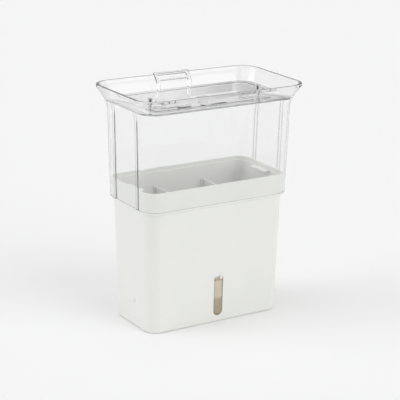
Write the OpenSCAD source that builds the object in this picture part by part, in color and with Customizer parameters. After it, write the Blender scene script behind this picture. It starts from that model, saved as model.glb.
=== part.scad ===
// Countertop keeper: a tapered white water container with a level window, a slotted tray with two
// loose dividers, a tall clear hood with a flared mouth, and a clear vented lid with a lift tab.
// Millimetres. +Z is up, -Y is the front, and the origin is under the middle of the foot.

/* [Container] */
// Width of the container at its foot
body_w = 178; // [160:1:210]
// Depth of the container at its foot
body_d = 88.4; // [80:0.2:110]
// Height of the container from its foot to the start of its shoulder
body_h = 144.5; // [135:0.5:170]
// How far each wall leans out between the foot and the shoulder
body_draft = 3.3; // [1:0.1:5]
// Radius of the upright corners
corner_r = 14.8; // [12:0.2:20]
// Thickness of the container's walls
body_wall = 2.2; // [1.6:0.1:3]
// Thickness of the container's floor
body_floor = 2.6; // [2:0.1:5]
// Radius of the rounded edge around the foot
foot_round = 2.4; // [1:0.1:4]
// Width of the flat rim that the container stands on
foot_rim = 7; // [4:0.5:12]
// Depth of the hollow inside that rim
foot_hollow = 0.8; // [0.4:0.1:1.5]
// Height of the shoulder that steps out under the hood
shoulder_h = 3.7; // [2.5:0.1:6]
// How far the shoulder stands out from the wall
shoulder_out = 2.9; // [2:0.1:5]
// Width of the ledge on the shoulder that the hood rests on
ledge_w = 1.2; // [0.8:0.1:2]
// Height of the collar that stands up inside the hood
collar_h = 23; // [15:0.5:30]
// Thickness of the collar's wall
collar_wall = 1.9; // [1.4:0.1:2.6]
// Radius of the collar's upright corners
collar_r = 14.9; // [12:0.1:20]

/* [Grip lugs] */
// Length of the oblong lug on each end wall
lug_l = 21; // [12:0.5:30]
// Height of that lug
lug_h = 7.4; // [4:0.2:10]
// How far it stands out
lug_out = 1.8; // [1:0.1:3]
// Height of its middle above the foot
lug_z = 33; // [20:0.5:60]

/* [Level window] */
// Width of the window
window_w = 12; // [9:0.5:18]
// Distance of the window to the right of the wall's middle
window_x = 2.5; // [0:0.5:6]
// Height of the window's lower end above the foot
window_z = 8; // [7:0.5:14]
// Length of the window
window_l = 49; // [35:0.5:60]
// Radius of the window's upper corners
window_top_r = 2.2; // [1:0.1:4]
// Gap around the window in its slot
window_gap = 0.15; // [0.1:0.05:0.3]
// How far the window lies under the wall's outer face
window_sink = 0.35; // [0.2:0.05:0.8]
// How far the window's inner flange reaches past the slot
window_flange = 2.6; // [2:0.1:4]
// Thickness of that flange
window_flange_t = 1.6; // [1:0.1:2.4]
// Thickness of the seal between the flange and the wall
seal_t = 0.8; // [0.5:0.1:1.5]
// How far the seal stays back from the flange's edge
seal_back = 0.4; // [0.2:0.1:0.8]
// Width of the clip above the window
clip_w = 5; // [4:0.5:7]
// Distance of the clip to the right of the window's middle
clip_x = 2; // [0:0.5:2]
// How far the clip reaches above the window
clip_h = 3.4; // [2:0.1:5]
// Thickness of the clip
clip_t = 0.8; // [0.5:0.1:1.2]

/* [Tray] */
// Gap between the tray and the container
tray_gap = 0.6; // [0.4:0.1:1.2]
// Thickness of the tray's walls
tray_wall = 1.6; // [1.2:0.1:2.2]
// Thickness of the tray's floor
tray_floor = 2.2; // [1.6:0.1:3]
// Depth from the collar's top edge to the tray's rim
tray_drop = 4.2; // [3:0.1:8]
// Height of the underside of the tray above the container's foot
tray_z = 118; // [110:0.5:126]
// Height of the brackets in the container that carry the tray
bracket_h = 13; // [8:0.5:20]
// Width of those brackets
bracket_w = 3; // [2:0.1:5]
// How far the brackets reach in from the wall
bracket_out = 6; // [4:0.5:9]
// Width of the bars of the tray's floor
floor_bar = 6; // [4:0.5:9]
// Radius of the corners of the floor's openings
floor_r = 4; // [2:0.5:6]
// Length of the lifting lip at each end of the tray
lip_l = 30; // [20:1:44]
// How far that lip reaches in
lip_out = 8; // [5:0.5:12]

/* [Dividers] */
// Distance of each divider from the middle
divider_x = 33; // [28:0.5:40]
// Thickness of a divider
divider_t = 1.6; // [1.2:0.1:2.2]
// Height of a divider
divider_h = 30; // [20:0.5:34]
// Gap between a divider and its grooves
divider_gap = 0.3; // [0.2:0.05:0.5]
// Width of each rib beside a groove
groove_rib = 1.4; // [1:0.1:2]
// Depth of the grooves
groove_out = 3; // [2:0.1:4]
// Width of the finger scoop in a divider's top edge
scoop_w = 34; // [20:1:44]
// Depth of that scoop
scoop_h = 7; // [4:0.5:12]

/* [Hood] */
// Gap between the collar and the hood's lower edge
hood_gap = 0.5; // [0.4:0.1:0.8]
// Thickness of the hood's wall
hood_wall = 1.8; // [1.4:0.1:2.2]
// Height of the hood's straight wall
hood_h = 99.8; // [90:0.2:120]
// How far the hood's walls lean out over that height
hood_draft = 2.3; // [1.5:0.1:4]
// Height of the flare below the lip
flare_h = 29; // [25:0.5:36]
// How far the mouth flares out past the wall
flare_out = 11.2; // [8:0.2:14]
// Radius of the mouth's corners
mouth_r = 23.5; // [17:0.5:26]
// Height of the lip around the mouth
lip_band_h = 3; // [2:0.1:5]
// Thickness of the lip
lip_band_t = 3.5; // [2.5:0.1:4]
// Distance of each end rail from the middle
rail_y = 26; // [18:0.5:30]
// Width of a rail
rail_w = 5.6; // [3:0.1:8]
// How far a rail stands out
rail_out = 1; // [0.6:0.1:2]
// How far a rail runs up past the start of the flare
rail_rise = 7; // [3:0.5:10]

/* [Lid] */
// Height of the lid's flange above the start of the flare
lid_seat = 14.2; // [12:0.1:15.5]
// Gap between the lid's edge and the flare
lid_gap = 0.25; // [0.2:0.05:0.4]
// Thickness of the lid's flange
lid_flange_t = 1.4; // [1.2:0.1:1.8]
// Width of the lid's flange
lid_flange_w = 7.4; // [6:0.1:9]
// Depth from the flange's top to the sunken panel
panel_depth = 0.8; // [0.5:0.1:1.1]
// Thickness of the panel and its sides
panel_t = 1.6; // [1.2:0.1:2]
// Radius of the panel's corners
panel_r = 11; // [8:0.5:16]

/* [Vent slider] */
// Distance of the slider's middle line from the lid's, towards the front
vent_y = 20; // [17:0.5:22]
// Length of the slider
slider_l = 154; // [140:1:158]
// Width of the slider
slider_w = 28; // [26:0.5:30]
// Thickness of the slider
slider_t = 1.2; // [1:0.1:1.6]
// Gap around the slider
slider_gap = 0.3; // [0.2:0.05:0.4]
// How far the slider travels from shut to open
slider_travel = 4; // [3.8:0.1:4.2]
// Width of a vent slot
slot_w = 3.4; // [2.6:0.1:3.6]
// Length of a vent slot
slot_l = 12; // [8:0.5:13]
// Number of vent slots on each side of the middle
slot_count = 3; // [1:1:3]
// Distance of the first slot from the middle
slot_x = 46; // [44:0.5:47]
// Length of each hook that holds the slider down
hook_l = 12; // [8:0.5:18]
// Distance between the hooks along the slider
hook_pitch = 56; // [40:1:60]
// Thickness of a hook
hook_t = 1; // [0.8:0.1:1.4]
// Distance of each finger pin from the slider's middle
pin_x = 72.4; // [70:0.2:74]
// Distance of the pins from the slider's back edge
pin_edge = 6.5; // [4:0.5:9]
// Radius of a finger pin
pin_r = 1.25; // [1:0.05:1.6]
// How far a pin stands up above the slider
pin_h = 7; // [5:0.5:9]
// Radius of the cap over a pin
cap_r = 2.9; // [2.4:0.1:3.6]
// Gap between a pin and what it stands in
pin_gap = 0.05; // [0.03:0.01:0.1]

/* [Lift tab] */
// Width of the lift tab across its posts
tab_w = 47; // [38:0.5:52]
// Distance of the tab to the left of the lid's middle
tab_x = 3.5; // [0:0.5:6]
// Width of a post
tab_post_w = 4.6; // [3:0.1:6]
// Thickness of the tab
tab_t = 2.6; // [2:0.1:3.2]
// Height of the tab's upright part above the flange
tab_up_h = 8.1; // [7:0.1:9.5]
// Height of the lower bar above the flange
tab_low_h = 10.4; // [9.6:0.1:12]
// Height of the tab's leaning part
tab_lean_h = 11.4; // [9:0.2:14]
// How far the leaning part reaches back
tab_lean = 9; // [6:0.5:9]
// Height of the bar along the tab's top
tab_bar_h = 3.6; // [2.5:0.1:5]
// Height of the lower bar
tab_low_bar_h = 2.8; // [2:0.1:4]

/* [Index marks] */
// Size of the pointer in the middle of the slider
mark_size = 5; // [3:0.5:6]
// How far the marks stand up
mark_t = 0.5; // [0.3:0.1:0.8]
// Distance of the pointer to the left of the slider's middle
mark_x = 16; // [10:0.5:18]
// Distance of the marks from the slider's front edge
mark_edge = 4; // [3.5:0.5:6]
// Distance of a dash's near end from the pointer
dash_x = 15; // [12:0.5:18]
// Length of the dash on either side
dash_l = 17; // [10:0.5:20]

/* [Edges and fits] */
// Gap between pieces that seat on each other
seat = 0.05; // [0.03:0.01:0.1]
// Radius of the shoulder's edge
shoulder_round = 0.4; // [0.2:0.1:1]
// Radius of the collar's upper edge
collar_round = 0.4; // [0.2:0.1:0.8]
// Size of the bevel around the container's inner floor
floor_round = 2; // [1:0.5:4]
// Size of the bevel around the underside of the tray
tray_round = 1.2; // [0.6:0.1:2]
// Size of the bevel on either side of the lip's top
lip_round = 0.8; // [0.4:0.1:1.2]

/* [Hidden] */

$fn = 48;
corner_n = 8;
flare_n = 7;
cut = 1;

// Heights of the seams between the pieces
ledge_z = body_h + shoulder_h;
collar_z = ledge_z + collar_h;
flare_z = ledge_z + hood_h;
mouth_z = flare_z + flare_h;
rim_z = mouth_z + lip_band_h;
lid_z = flare_z + lid_seat;
lid_top = lid_z + lid_flange_t;
panel_top = lid_top - panel_depth;
slider_z = panel_top + slider_gap;
slider_top = slider_z + slider_t;
tray_top = collar_z - tray_drop;
tray_in_z = tray_z + tray_floor;
divider_z = tray_in_z + seat;

// Container: plan size of each level
shoulder_w = body_w + 2 * (body_draft + shoulder_out);
shoulder_d = body_d + 2 * (body_draft + shoulder_out);
collar_w = shoulder_w - 2 * ledge_w;
collar_d = shoulder_d - 2 * ledge_w;
wall_lean = atan(body_draft / body_h);
inner_floor_z = foot_hollow + body_floor;
// The inside steps out below the ledge by the same rise as the outside
step_z = body_h - 0.4 * shoulder_h;
step_top_z = ledge_z - 0.2 * shoulder_h;

function body_grow(z) = 2 * body_draft * z / body_h;
// Plan section of the container's outside, and of its inside, below the shoulder
function body_section(z, inset) =
    [z, body_w + body_grow(z) - 2 * inset, body_d + body_grow(z) - 2 * inset, corner_r - inset];
function shoulder_section(z, inset) =
    [z, shoulder_w - 2 * inset, shoulder_d - 2 * inset, collar_r + ledge_w - inset];
function collar_section(z, inset) =
    [z, collar_w - 2 * inset, collar_d - 2 * inset, collar_r - inset];

// Hood: how far the wall stands out at a height, and its thickness there
function flare_t(z) = min(1, max(0, (z - flare_z) / flare_h));
function hood_lean(z) = hood_draft * min(1, (z - ledge_z) / hood_h);
function hood_out(z) = hood_lean(z) + flare_out * (1 - cos(90 * flare_t(z)));
function hood_thick(z) = hood_wall + (lip_band_t - hood_wall) * pow(flare_t(z), 2);
hood_w = collar_w + 2 * (hood_gap + hood_wall);
hood_d = collar_d + 2 * (hood_gap + hood_wall);
hood_r = collar_r + hood_gap + hood_wall;
function hood_section(z, inset) =
    [z, hood_w + 2 * (hood_out(z) - inset), hood_d + 2 * (hood_out(z) - inset),
     hood_r + (mouth_r - hood_r) * flare_t(z) - inset];
flare_levels = [for (i = [0:flare_n]) flare_z + flare_h * i / flare_n];

// Lid: the section of the hood's inside where the flange sits
lid_section = hood_section(lid_z, hood_thick(lid_z) + lid_gap);
lid_w = lid_section[1];
lid_d = lid_section[2];
lid_r = lid_section[3];
panel_w = lid_w - 2 * lid_flange_w;
panel_d = lid_d - 2 * lid_flange_w;
slot_pitch = 2 * slider_travel;
pin_y = vent_y - slider_w / 2 + pin_edge;
mark_y = vent_y + slider_w / 2 - mark_edge;
tab_y = lid_d / 2 - lid_flange_w / 2 - tab_t / 2;
tab_low_z = lid_top + tab_low_h;
tab_top_z = lid_top + tab_up_h + tab_lean_h;

// Tray: inside of its lower part, which its floor's openings and its dividers follow
tray_low = body_section(tray_z, body_wall + tray_gap);
tray_in_w = tray_low[1] - 2 * tray_wall;
tray_in_d = tray_low[2] - 2 * tray_wall;
groove_w = divider_t + 2 * divider_gap;
rib_out_x = groove_w / 2 + groove_rib;

white = [0.93, 0.93, 0.91];
tray_white = [0.95, 0.95, 0.94];
clear = [0.86, 0.9, 0.92, 0.35];
lid_clear = [0.78, 0.82, 0.85, 0.45];
smoke = [0.6, 0.52, 0.42, 0.6];
silicone = [0.85, 0.85, 0.83];
dark_steel = [0.2, 0.2, 0.22];

// Outline of a rectangle with rounded corners, anticlockwise
function ring(w, d, r) =
    [for (c = [0:3]) for (i = [0:corner_n])
        let (a = 90 * (c + i / corner_n),
             sx = (c == 0 || c == 3) ? 1 : -1,
             sy = (c < 2) ? 1 : -1)
        [sx * (w / 2 - r) + r * cos(a), sy * (d / 2 - r) + r * sin(a)]];

// Solid through a stack of rounded rectangles, each given as [height, width, depth, radius]
module stack(sections) {
    m = 4 * (corner_n + 1);
    top = len(sections) - 1;
    points = [for (s = sections) for (p = ring(s[1], s[2], s[3])) [p[0], p[1], s[0]]];
    sides = [for (i = [0:top - 1]) for (j = [0:m - 1])
        let (k = (j + 1) % m)
        [i * m + j, (i + 1) * m + j, (i + 1) * m + k, i * m + k]];
    foot = [for (j = [0:m - 1]) j];
    lid = [for (j = [0:m - 1]) top * m + m - 1 - j];
    polyhedron(points, concat([foot], sides, [lid]), convexity = 6);
}

// Flat rounded rectangle with true arcs
module rounded_rect(w, d, r) {
    square([w - 2 * r, d], center = true);
    square([w, d - 2 * r], center = true);
    for (x = [-1, 1], y = [-1, 1])
        translate([x * (w / 2 - r), y * (d / 2 - r)]) circle(r);
}

// Flat oblong with round ends, long in X
module oblong(l, w) {
    square([l - w, w], center = true);
    for (x = [-1, 1])
        translate([x * (l - w) / 2, 0]) circle(w / 2);
}

// Level window's outline, grown by g all round: a round lower end and small upper corners
module window_outline(g) {
    w = window_w + 2 * g;
    r = window_top_r + g;
    top = window_z + window_l + g;
    middle = window_z + window_w / 2;
    translate([0, middle]) circle(w / 2);
    translate([-w / 2, middle]) square([w, top - r - middle]);
    translate([r - w / 2, middle]) square([w - 2 * r, top - middle]);
    for (x = [-1, 1])
        translate([x * (w / 2 - r), top - r]) circle(r);
}

// Puts its child on the front wall at the window: Y runs up the wall, and Z points out of it
module on_front() {
    translate([window_x, -body_d / 2, 0]) rotate([90 + wall_lean, 0, 0]) children();
}

// Container ------------------------------------------------------------------

module container_outside() {
    round_steps = [for (a = [0:30:90])
        let (drop = foot_round * (1 - sin(a)), z = foot_round * (1 - cos(a)))
        body_section(z, drop)];
    stack(concat(round_steps,
        [body_section(body_h, 0),
         shoulder_section(body_h + shoulder_h / 2, shoulder_round),
         shoulder_section(ledge_z - shoulder_round, 0),
         shoulder_section(ledge_z, shoulder_round / 4)]));
    stack([collar_section(ledge_z - shoulder_h / 2, collar_round),
           collar_section(ledge_z, 0),
           collar_section(collar_z - 1.5 * collar_round, 0),
           collar_section(collar_z, collar_round)]);
}

module container_inside() {
    stack([body_section(inner_floor_z, body_wall + floor_round),
           body_section(inner_floor_z + floor_round, body_wall),
           body_section(step_z, body_wall),
           collar_section(step_top_z, collar_wall),
           collar_section(collar_z + cut, collar_wall)]);
}

// Brackets under the tray, on the front and back walls below each divider
module tray_brackets() {
    bottom = tray_z - bracket_h;
    near = body_d / 2 + body_grow(bottom) / 2 - body_wall;
    far = near + body_wall / 2;
    for (x = [-1, 1], y = [0, 180])
        rotate([0, 0, y])
            translate([x * divider_x - bracket_w / 2, 0, 0])
                rotate([90, 0, 90])
                    linear_extrude(bracket_w)
                        polygon([[-far, bottom], [-near, bottom], [bracket_out - near, bottom + bracket_out],
                                 [bracket_out - near, tray_z], [-far, tray_z]]);
}

// Oblong lug on each end wall
module end_lugs() {
    for (side = [0, 180])
        rotate([0, 0, side])
            translate([body_w / 2, 0, 0])
                rotate([90 + wall_lean, 0, 90])
                    translate([0, lug_z, -body_wall / 2])
                        linear_extrude(body_wall / 2 + lug_out) oblong(lug_l, lug_h);
}

module container() {
    color(white) {
        difference() {
            container_outside();
            container_inside();
            translate([0, 0, -cut])
                linear_extrude(cut + foot_hollow)
                    rounded_rect(body_w - 2 * foot_rim, body_d - 2 * foot_rim, corner_r - foot_rim / 2);
            on_front()
                translate([0, 0, -body_wall - cut])
                    linear_extrude(body_wall + 2 * cut) window_outline(0);
        }
        tray_brackets();
        end_lugs();
    }
}

// Level window and its seal ----------------------------------------------------

module level_window() {
    flange_z = -body_wall - seal_t - 2 * seat;
    window_top = window_z + window_l;
    color(smoke) on_front() {
        translate([0, 0, flange_z])
            linear_extrude(-flange_z - window_sink) window_outline(-window_gap);
        translate([0, 0, flange_z - window_flange_t])
            linear_extrude(window_flange_t) window_outline(window_flange);
        translate([clip_x - clip_w / 2, window_top - clip_h, -window_sink - clip_t])
            cube([clip_w, clip_h - window_gap, window_sink + 2 * clip_t + seat]);
        translate([clip_x - clip_w / 2, window_top - clip_h, seat])
            cube([clip_w, 2 * clip_h, clip_t]);
    }
}

module window_seal() {
    color(silicone) on_front()
        translate([0, 0, -body_wall - seal_t - seat])
            linear_extrude(seal_t)
                difference() {
                    window_outline(window_flange - seal_back);
                    window_outline(0);
                }
}

// Tray -------------------------------------------------------------------------

module tray_outside() {
    out = body_wall + tray_gap;
    rim = collar_wall + tray_gap;
    stack([body_section(tray_z, out + tray_round),
           body_section(tray_z + tray_round, out),
           body_section(step_z, out),
           collar_section(step_top_z + tray_gap, rim),
           collar_section(tray_top, rim)]);
}

module tray_inside() {
    out = body_wall + tray_gap + tray_wall;
    rim = collar_wall + tray_gap + tray_wall;
    stack([body_section(tray_in_z, out),
           body_section(step_z + tray_wall / 2, out),
           collar_section(step_top_z + tray_gap + tray_wall / 2, rim),
           collar_section(tray_top + cut, rim)]);
}

// Two openings in the floor of each compartment, for what stands in the water
module floor_openings() {
    middle_w = 2 * (divider_x - rib_out_x - floor_bar / 2);
    side_w = tray_in_w / 2 - divider_x - rib_out_x - 1.5 * floor_bar;
    side_x = divider_x + rib_out_x + floor_bar / 2 + side_w / 2;
    open_d = tray_in_d / 2 - 1.5 * floor_bar;
    for (y = [-1, 1], col = [[-side_x, side_w], [0, middle_w], [side_x, side_w]])
        translate([col[0], y * (open_d + floor_bar) / 2, tray_z - cut])
            linear_extrude(tray_floor + 2 * cut)
                rounded_rect(col[1], open_d, floor_r);
}

// Ribs on the front and back walls, in pairs that make the dividers' grooves
module groove_ribs() {
    near = tray_in_d / 2 - groove_out;
    reach = groove_out + tray_wall + shoulder_out;
    intersection() {
        for (x = [-divider_x, divider_x], side = [-1, 1], y = [-1, 1])
            translate([x + side * (groove_w + groove_rib) / 2 - groove_rib / 2,
                       y > 0 ? near : -near - reach, tray_in_z - tray_floor / 4])
                cube([groove_rib, reach, divider_h]);
        tray_outside();
    }
}

// Lip at each end of the tray that fingers lift it by
module lifting_lips() {
    lip_t = tray_wall;
    reach = collar_w / 2 - collar_wall - tray_gap;
    for (x = [0, 180])
        rotate([0, 0, x])
            translate([reach - tray_wall - lip_out, -lip_l / 2, tray_top - lip_t])
                cube([lip_out + tray_wall / 2, lip_l, lip_t]);
}

module tray() {
    color(tray_white) {
        difference() {
            tray_outside();
            tray_inside();
            floor_openings();
        }
        groove_ribs();
        lifting_lips();
    }
}

// Dividers ---------------------------------------------------------------------

// Upright plate with a finger scoop, standing in the grooves at x
module divider(x) {
    half = tray_in_d / 2 - divider_gap;
    scoop_r = (pow(scoop_w / 2, 2) + pow(scoop_h, 2)) / (2 * scoop_h);
    translate([x - divider_t / 2, 0, 0])
        rotate([90, 0, 90])
            linear_extrude(divider_t)
                difference() {
                    translate([-half, divider_z]) square([2 * half, divider_h]);
                    translate([0, divider_z + divider_h - scoop_h + scoop_r]) circle(scoop_r, $fn = 96);
                }
}

module divider_left() {
    color(tray_white) divider(-divider_x);
}

module divider_right() {
    color(tray_white) divider(divider_x);
}

// Hood -------------------------------------------------------------------------

module hood_outside() {
    stack(concat([hood_section(ledge_z, 0)],
                 [for (z = flare_levels) hood_section(z, 0)],
                 [hood_section(rim_z - lip_round, 0), hood_section(rim_z, lip_round)]));
}

module hood_inside() {
    stack(concat([hood_section(ledge_z - cut, hood_wall)],
                 [for (z = flare_levels) hood_section(z, hood_thick(z))],
                 [hood_section(rim_z - lip_round, lip_band_t),
                  hood_section(rim_z + cut, lip_band_t - lip_round - cut)]));
}

// Upright rails on the end walls
module end_rails() {
    low = hood_w / 2;
    high = low + hood_draft;
    root = hood_wall / 2;
    for (side = [0, 180], y = [-rail_y, rail_y])
        rotate([0, 0, side])
            translate([0, y + rail_w / 2, 0])
                rotate([90, 0, 0])
                    linear_extrude(rail_w)
                        polygon([[low - root, ledge_z], [low + rail_out, ledge_z],
                                 [high + rail_out, flare_z], [high + rail_out, flare_z + rail_rise],
                                 [high, flare_z + rail_rise + rail_out], [high - root, flare_z]]);
}

module hood() {
    color(clear) {
        difference() {
            hood_outside();
            hood_inside();
        }
        end_rails();
    }
}

// Lid --------------------------------------------------------------------------

module vent_slots(shift, z, t) {
    for (side = [-1, 1], i = [0:slot_count - 1])
        translate([side * (slot_x + i * slot_pitch) + shift, -vent_y, z - cut])
            linear_extrude(t + 2 * cut) rotate(90) oblong(slot_l, slot_w);
}

// Hooks along both sides of the slider
module slider_hooks() {
    gap = slider_w / 2 + slider_gap;
    top = slider_top + slider_gap;
    for (x = [-1:1], side = [0, 180])
        translate([x * hook_pitch, -vent_y, 0])
            rotate([0, 0, side])
                translate([-hook_l / 2, 0, 0])
                    rotate([90, 0, 90])
                        linear_extrude(hook_l)
                            polygon([[gap, panel_top - panel_t / 2], [gap + hook_t, panel_top - panel_t / 2],
                                     [gap + hook_t, top + hook_t], [gap - hook_t, top + hook_t],
                                     [gap - hook_t, top], [gap, top]]);
}

// A pointer with a dash on either side, moulded on the slider
module index_marks() {
    translate([-mark_x, -mark_y, slider_top - mark_t])
        linear_extrude(2 * mark_t) {
            polygon([[-mark_size / 2, -mark_size / 2], [mark_size / 2, -mark_size / 2], [0, mark_size / 2]]);
            for (x = [-1, 1])
                translate([x * (dash_x + dash_l / 2), 0]) square([dash_l, mark_size / 3], center = true);
        }
}

// Side outline of the lift tab between two heights: upright first, then leaning back
module tab_side(from, to) {
    bend = lid_top + tab_up_h;
    function y_at(z) = tab_y + tab_lean * max(0, (z - bend) / tab_lean_h);
    levels = concat([from], from < bend && to > bend ? [bend] : [], [to]);
    polygon(concat([for (z = levels) [y_at(z), z]],
                   [for (i = [len(levels) - 1:-1:0]) [y_at(levels[i]) + tab_t, levels[i]]]));
}

module lift_tab() {
    left = -tab_x - tab_w / 2;
    for (x = [left, left + tab_w - tab_post_w])
        translate([x, 0, 0])
            rotate([90, 0, 90])
                linear_extrude(tab_post_w) tab_side(lid_top - lid_flange_t / 2, tab_top_z);
    translate([left, 0, 0])
        rotate([90, 0, 90])
            linear_extrude(tab_w) tab_side(tab_top_z - tab_bar_h, tab_top_z);
    translate([left, 0, 0])
        rotate([90, 0, 90])
            linear_extrude(tab_w) tab_side(tab_low_z, tab_low_z + tab_low_bar_h);
}

module lid() {
    color(lid_clear) {
        difference() {
            union() {
                translate([0, 0, lid_z])
                    linear_extrude(lid_flange_t) rounded_rect(lid_w, lid_d, lid_r);
                translate([0, 0, panel_top - panel_t])
                    linear_extrude(panel_depth + panel_t - lid_flange_t / 2)
                        rounded_rect(panel_w, panel_d, panel_r);
            }
            translate([0, 0, panel_top])
                linear_extrude(panel_depth + cut)
                    rounded_rect(panel_w - 2 * panel_t, panel_d - 2 * panel_t, panel_r - panel_t);
            vent_slots(0, panel_top - panel_t, panel_t);
        }
        slider_hooks();
        lift_tab();
    }
}

// Vent slider with its finger pins -----------------------------------------------

module vent_slider() {
    color(lid_clear) {
        difference() {
            translate([0, -vent_y, slider_z])
                linear_extrude(slider_t) rounded_rect(slider_l, slider_w, cap_r);
            vent_slots(slider_travel, slider_z, slider_t);
            for (x = [-pin_x, pin_x])
                translate([x, -pin_y, slider_z - cut]) cylinder(slider_t + 2 * cut, r = pin_r + pin_gap);
        }
        index_marks();
    }
}

module finger_pins() {
    color(dark_steel)
        for (x = [-pin_x, pin_x])
            translate([x, -pin_y, slider_z]) cylinder(slider_t + pin_h, r = pin_r);
}

// Clear sleeve with a domed top over each pin
module pin_caps() {
    bore = pin_r + pin_gap;
    bore_top = pin_h + 2 * pin_gap;
    color(clear)
        for (x = [-pin_x, pin_x])
            translate([x, -pin_y, slider_top])
                rotate_extrude()
                    difference() {
                        union() {
                            square([cap_r, pin_h - cap_r / 2]);
                            translate([0, pin_h - cap_r / 2])
                                intersection() {
                                    circle(cap_r);
                                    square(cap_r);
                                }
                        }
                        translate([0, -cut]) square([bore, bore_top + cut]);
                    }
}

container();
level_window();
window_seal();
tray();
divider_left();
divider_right();
hood();
lid();
vent_slider();
finger_pins();
pin_caps();
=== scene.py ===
"""Looks of a countertop keeper: a white water container with a level window, a slotted tray with
two dividers, a tall clear hood with a flared mouth, and a clear vented lid with a lift tab.

Every mesh is in metres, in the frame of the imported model: +Z is up and -Y is the front. Overall
sizes come from the boxes of the model's nodes, and smaller ones are the fields of each class.
"""

import logging
import math
from dataclasses import dataclass, replace
from enum import Enum
from functools import partial
from typing import Callable, Iterable, Sequence

import bmesh
import bpy
from bmesh.types import BMEdge, BMesh, BMVert
from mathutils import Matrix, Vector

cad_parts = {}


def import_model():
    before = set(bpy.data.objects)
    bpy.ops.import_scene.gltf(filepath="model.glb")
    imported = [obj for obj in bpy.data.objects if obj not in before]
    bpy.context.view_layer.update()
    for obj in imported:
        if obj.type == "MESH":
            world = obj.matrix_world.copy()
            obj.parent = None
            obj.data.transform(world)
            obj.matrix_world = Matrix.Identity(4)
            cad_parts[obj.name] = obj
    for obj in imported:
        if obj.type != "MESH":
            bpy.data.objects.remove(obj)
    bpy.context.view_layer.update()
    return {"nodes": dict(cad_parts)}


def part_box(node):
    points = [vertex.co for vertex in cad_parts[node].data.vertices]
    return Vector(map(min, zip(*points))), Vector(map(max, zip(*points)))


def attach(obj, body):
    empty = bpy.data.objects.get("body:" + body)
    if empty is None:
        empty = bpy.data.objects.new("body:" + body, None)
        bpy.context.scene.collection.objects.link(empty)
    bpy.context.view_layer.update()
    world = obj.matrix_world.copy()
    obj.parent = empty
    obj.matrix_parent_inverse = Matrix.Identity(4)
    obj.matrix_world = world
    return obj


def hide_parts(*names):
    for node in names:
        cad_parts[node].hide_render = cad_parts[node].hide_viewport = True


log = logging.getLogger("keeper")

MM = 0.001
WHITE = (1.0, 1.0, 1.0, 1.0)
# Closest that two points of a mesh may lie before they're merged
MERGE = 0.002 * MM
# Smallest corner radius of a section
LEAST_RADIUS = 0.05 * MM
# A step too small to see, which keeps two points or faces apart
HAIR = 0.01 * MM
# How far a cutter reaches past the face that it cuts
PAST = 1 * MM
# Steepest edge that is shaded smooth, in degrees
SMOOTH_ANGLE = 32.0

Colour = tuple[float, float, float]
Point = tuple[float, float, float]
Outline = tuple[tuple[float, float], ...]


class Body(Enum):
    """The bodies that pieces ride on."""

    CONTAINER = "container"
    TRAY = "tray"
    DIVIDER_LEFT = "divider_left"
    DIVIDER_RIGHT = "divider_right"
    HOOD = "hood"
    LID = "lid"
    VENT_SLIDER = "vent_slider"


class Slot(Enum):
    """The record's material slots."""

    SHELL = "white_shell"
    TRAY = "tray_white"
    WINDOW = "smoke_window"
    SEAL = "silicone"
    HOOD = "clear_hood"
    LID = "clear_lid"
    PIN = "dark_pin"


class Corner(Enum):
    """The upright corners of a section, anticlockwise: side in X, side in Y, and quarter turn."""

    RIGHT_BACK = (1, 1, 0)
    LEFT_BACK = (-1, 1, 1)
    LEFT_FRONT = (-1, -1, 2)
    RIGHT_FRONT = (1, -1, 3)

    @property
    def start(self) -> Vector:
        """Direction from the corner's centre to the first point of its arc."""
        return Matrix.Rotation(self.value[2] * math.pi / 2, 3, "Z") @ Vector((1, 0, 0))


class Join(Enum):
    """What a second mesh does to the first."""

    ADD = "UNION"
    CUT = "DIFFERENCE"


# Mesh making ----------------------------------------------------------------


@dataclass(frozen=True)
class Section:
    """One level of a lofted shape: a rectangle with round corners."""

    z: float
    width: float
    depth: float
    radius: float
    front_radius: float | None = None
    middle: tuple[float, float] = (0.0, 0.0)

    def grown(self, by: float, z: float | None = None) -> "Section":
        """The same outline, larger all round.

        Args:
            by: How far each side moves out. A negative value shrinks the outline.
            z: The new level, or None to keep this one.

        Returns:
            The new section.
        """
        front = self.front_radius
        return replace(
            self,
            z=self.z if z is None else z,
            width=self.width + 2 * by,
            depth=self.depth + 2 * by,
            radius=max(self.radius + by, LEAST_RADIUS),
            front_radius=None if front is None else max(front + by, LEAST_RADIUS),
        )

    def level(self, z: float, inset: float) -> "Section":
        """The same outline at another level, smaller all round by an inset."""
        return self.grown(-inset, z=z)

    def corner_radius(self, corner: Corner) -> float:
        """Radius of one corner.

        Args:
            corner: Which of the four corners.

        Returns:
            Its radius.
        """
        if self.front_radius is not None and corner.value[1] < 0:
            return self.front_radius
        return self.radius

    def centre(self, corner: Corner) -> Vector:
        """Centre of one corner's arc.

        Args:
            corner: Which of the four corners.

        Returns:
            The centre.
        """
        radius = self.corner_radius(corner)
        side_x, side_y, _ = corner.value
        return Vector(
            (
                self.middle[0] + side_x * (self.width / 2 - radius),
                self.middle[1] + side_y * (self.depth / 2 - radius),
                self.z,
            )
        )


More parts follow.
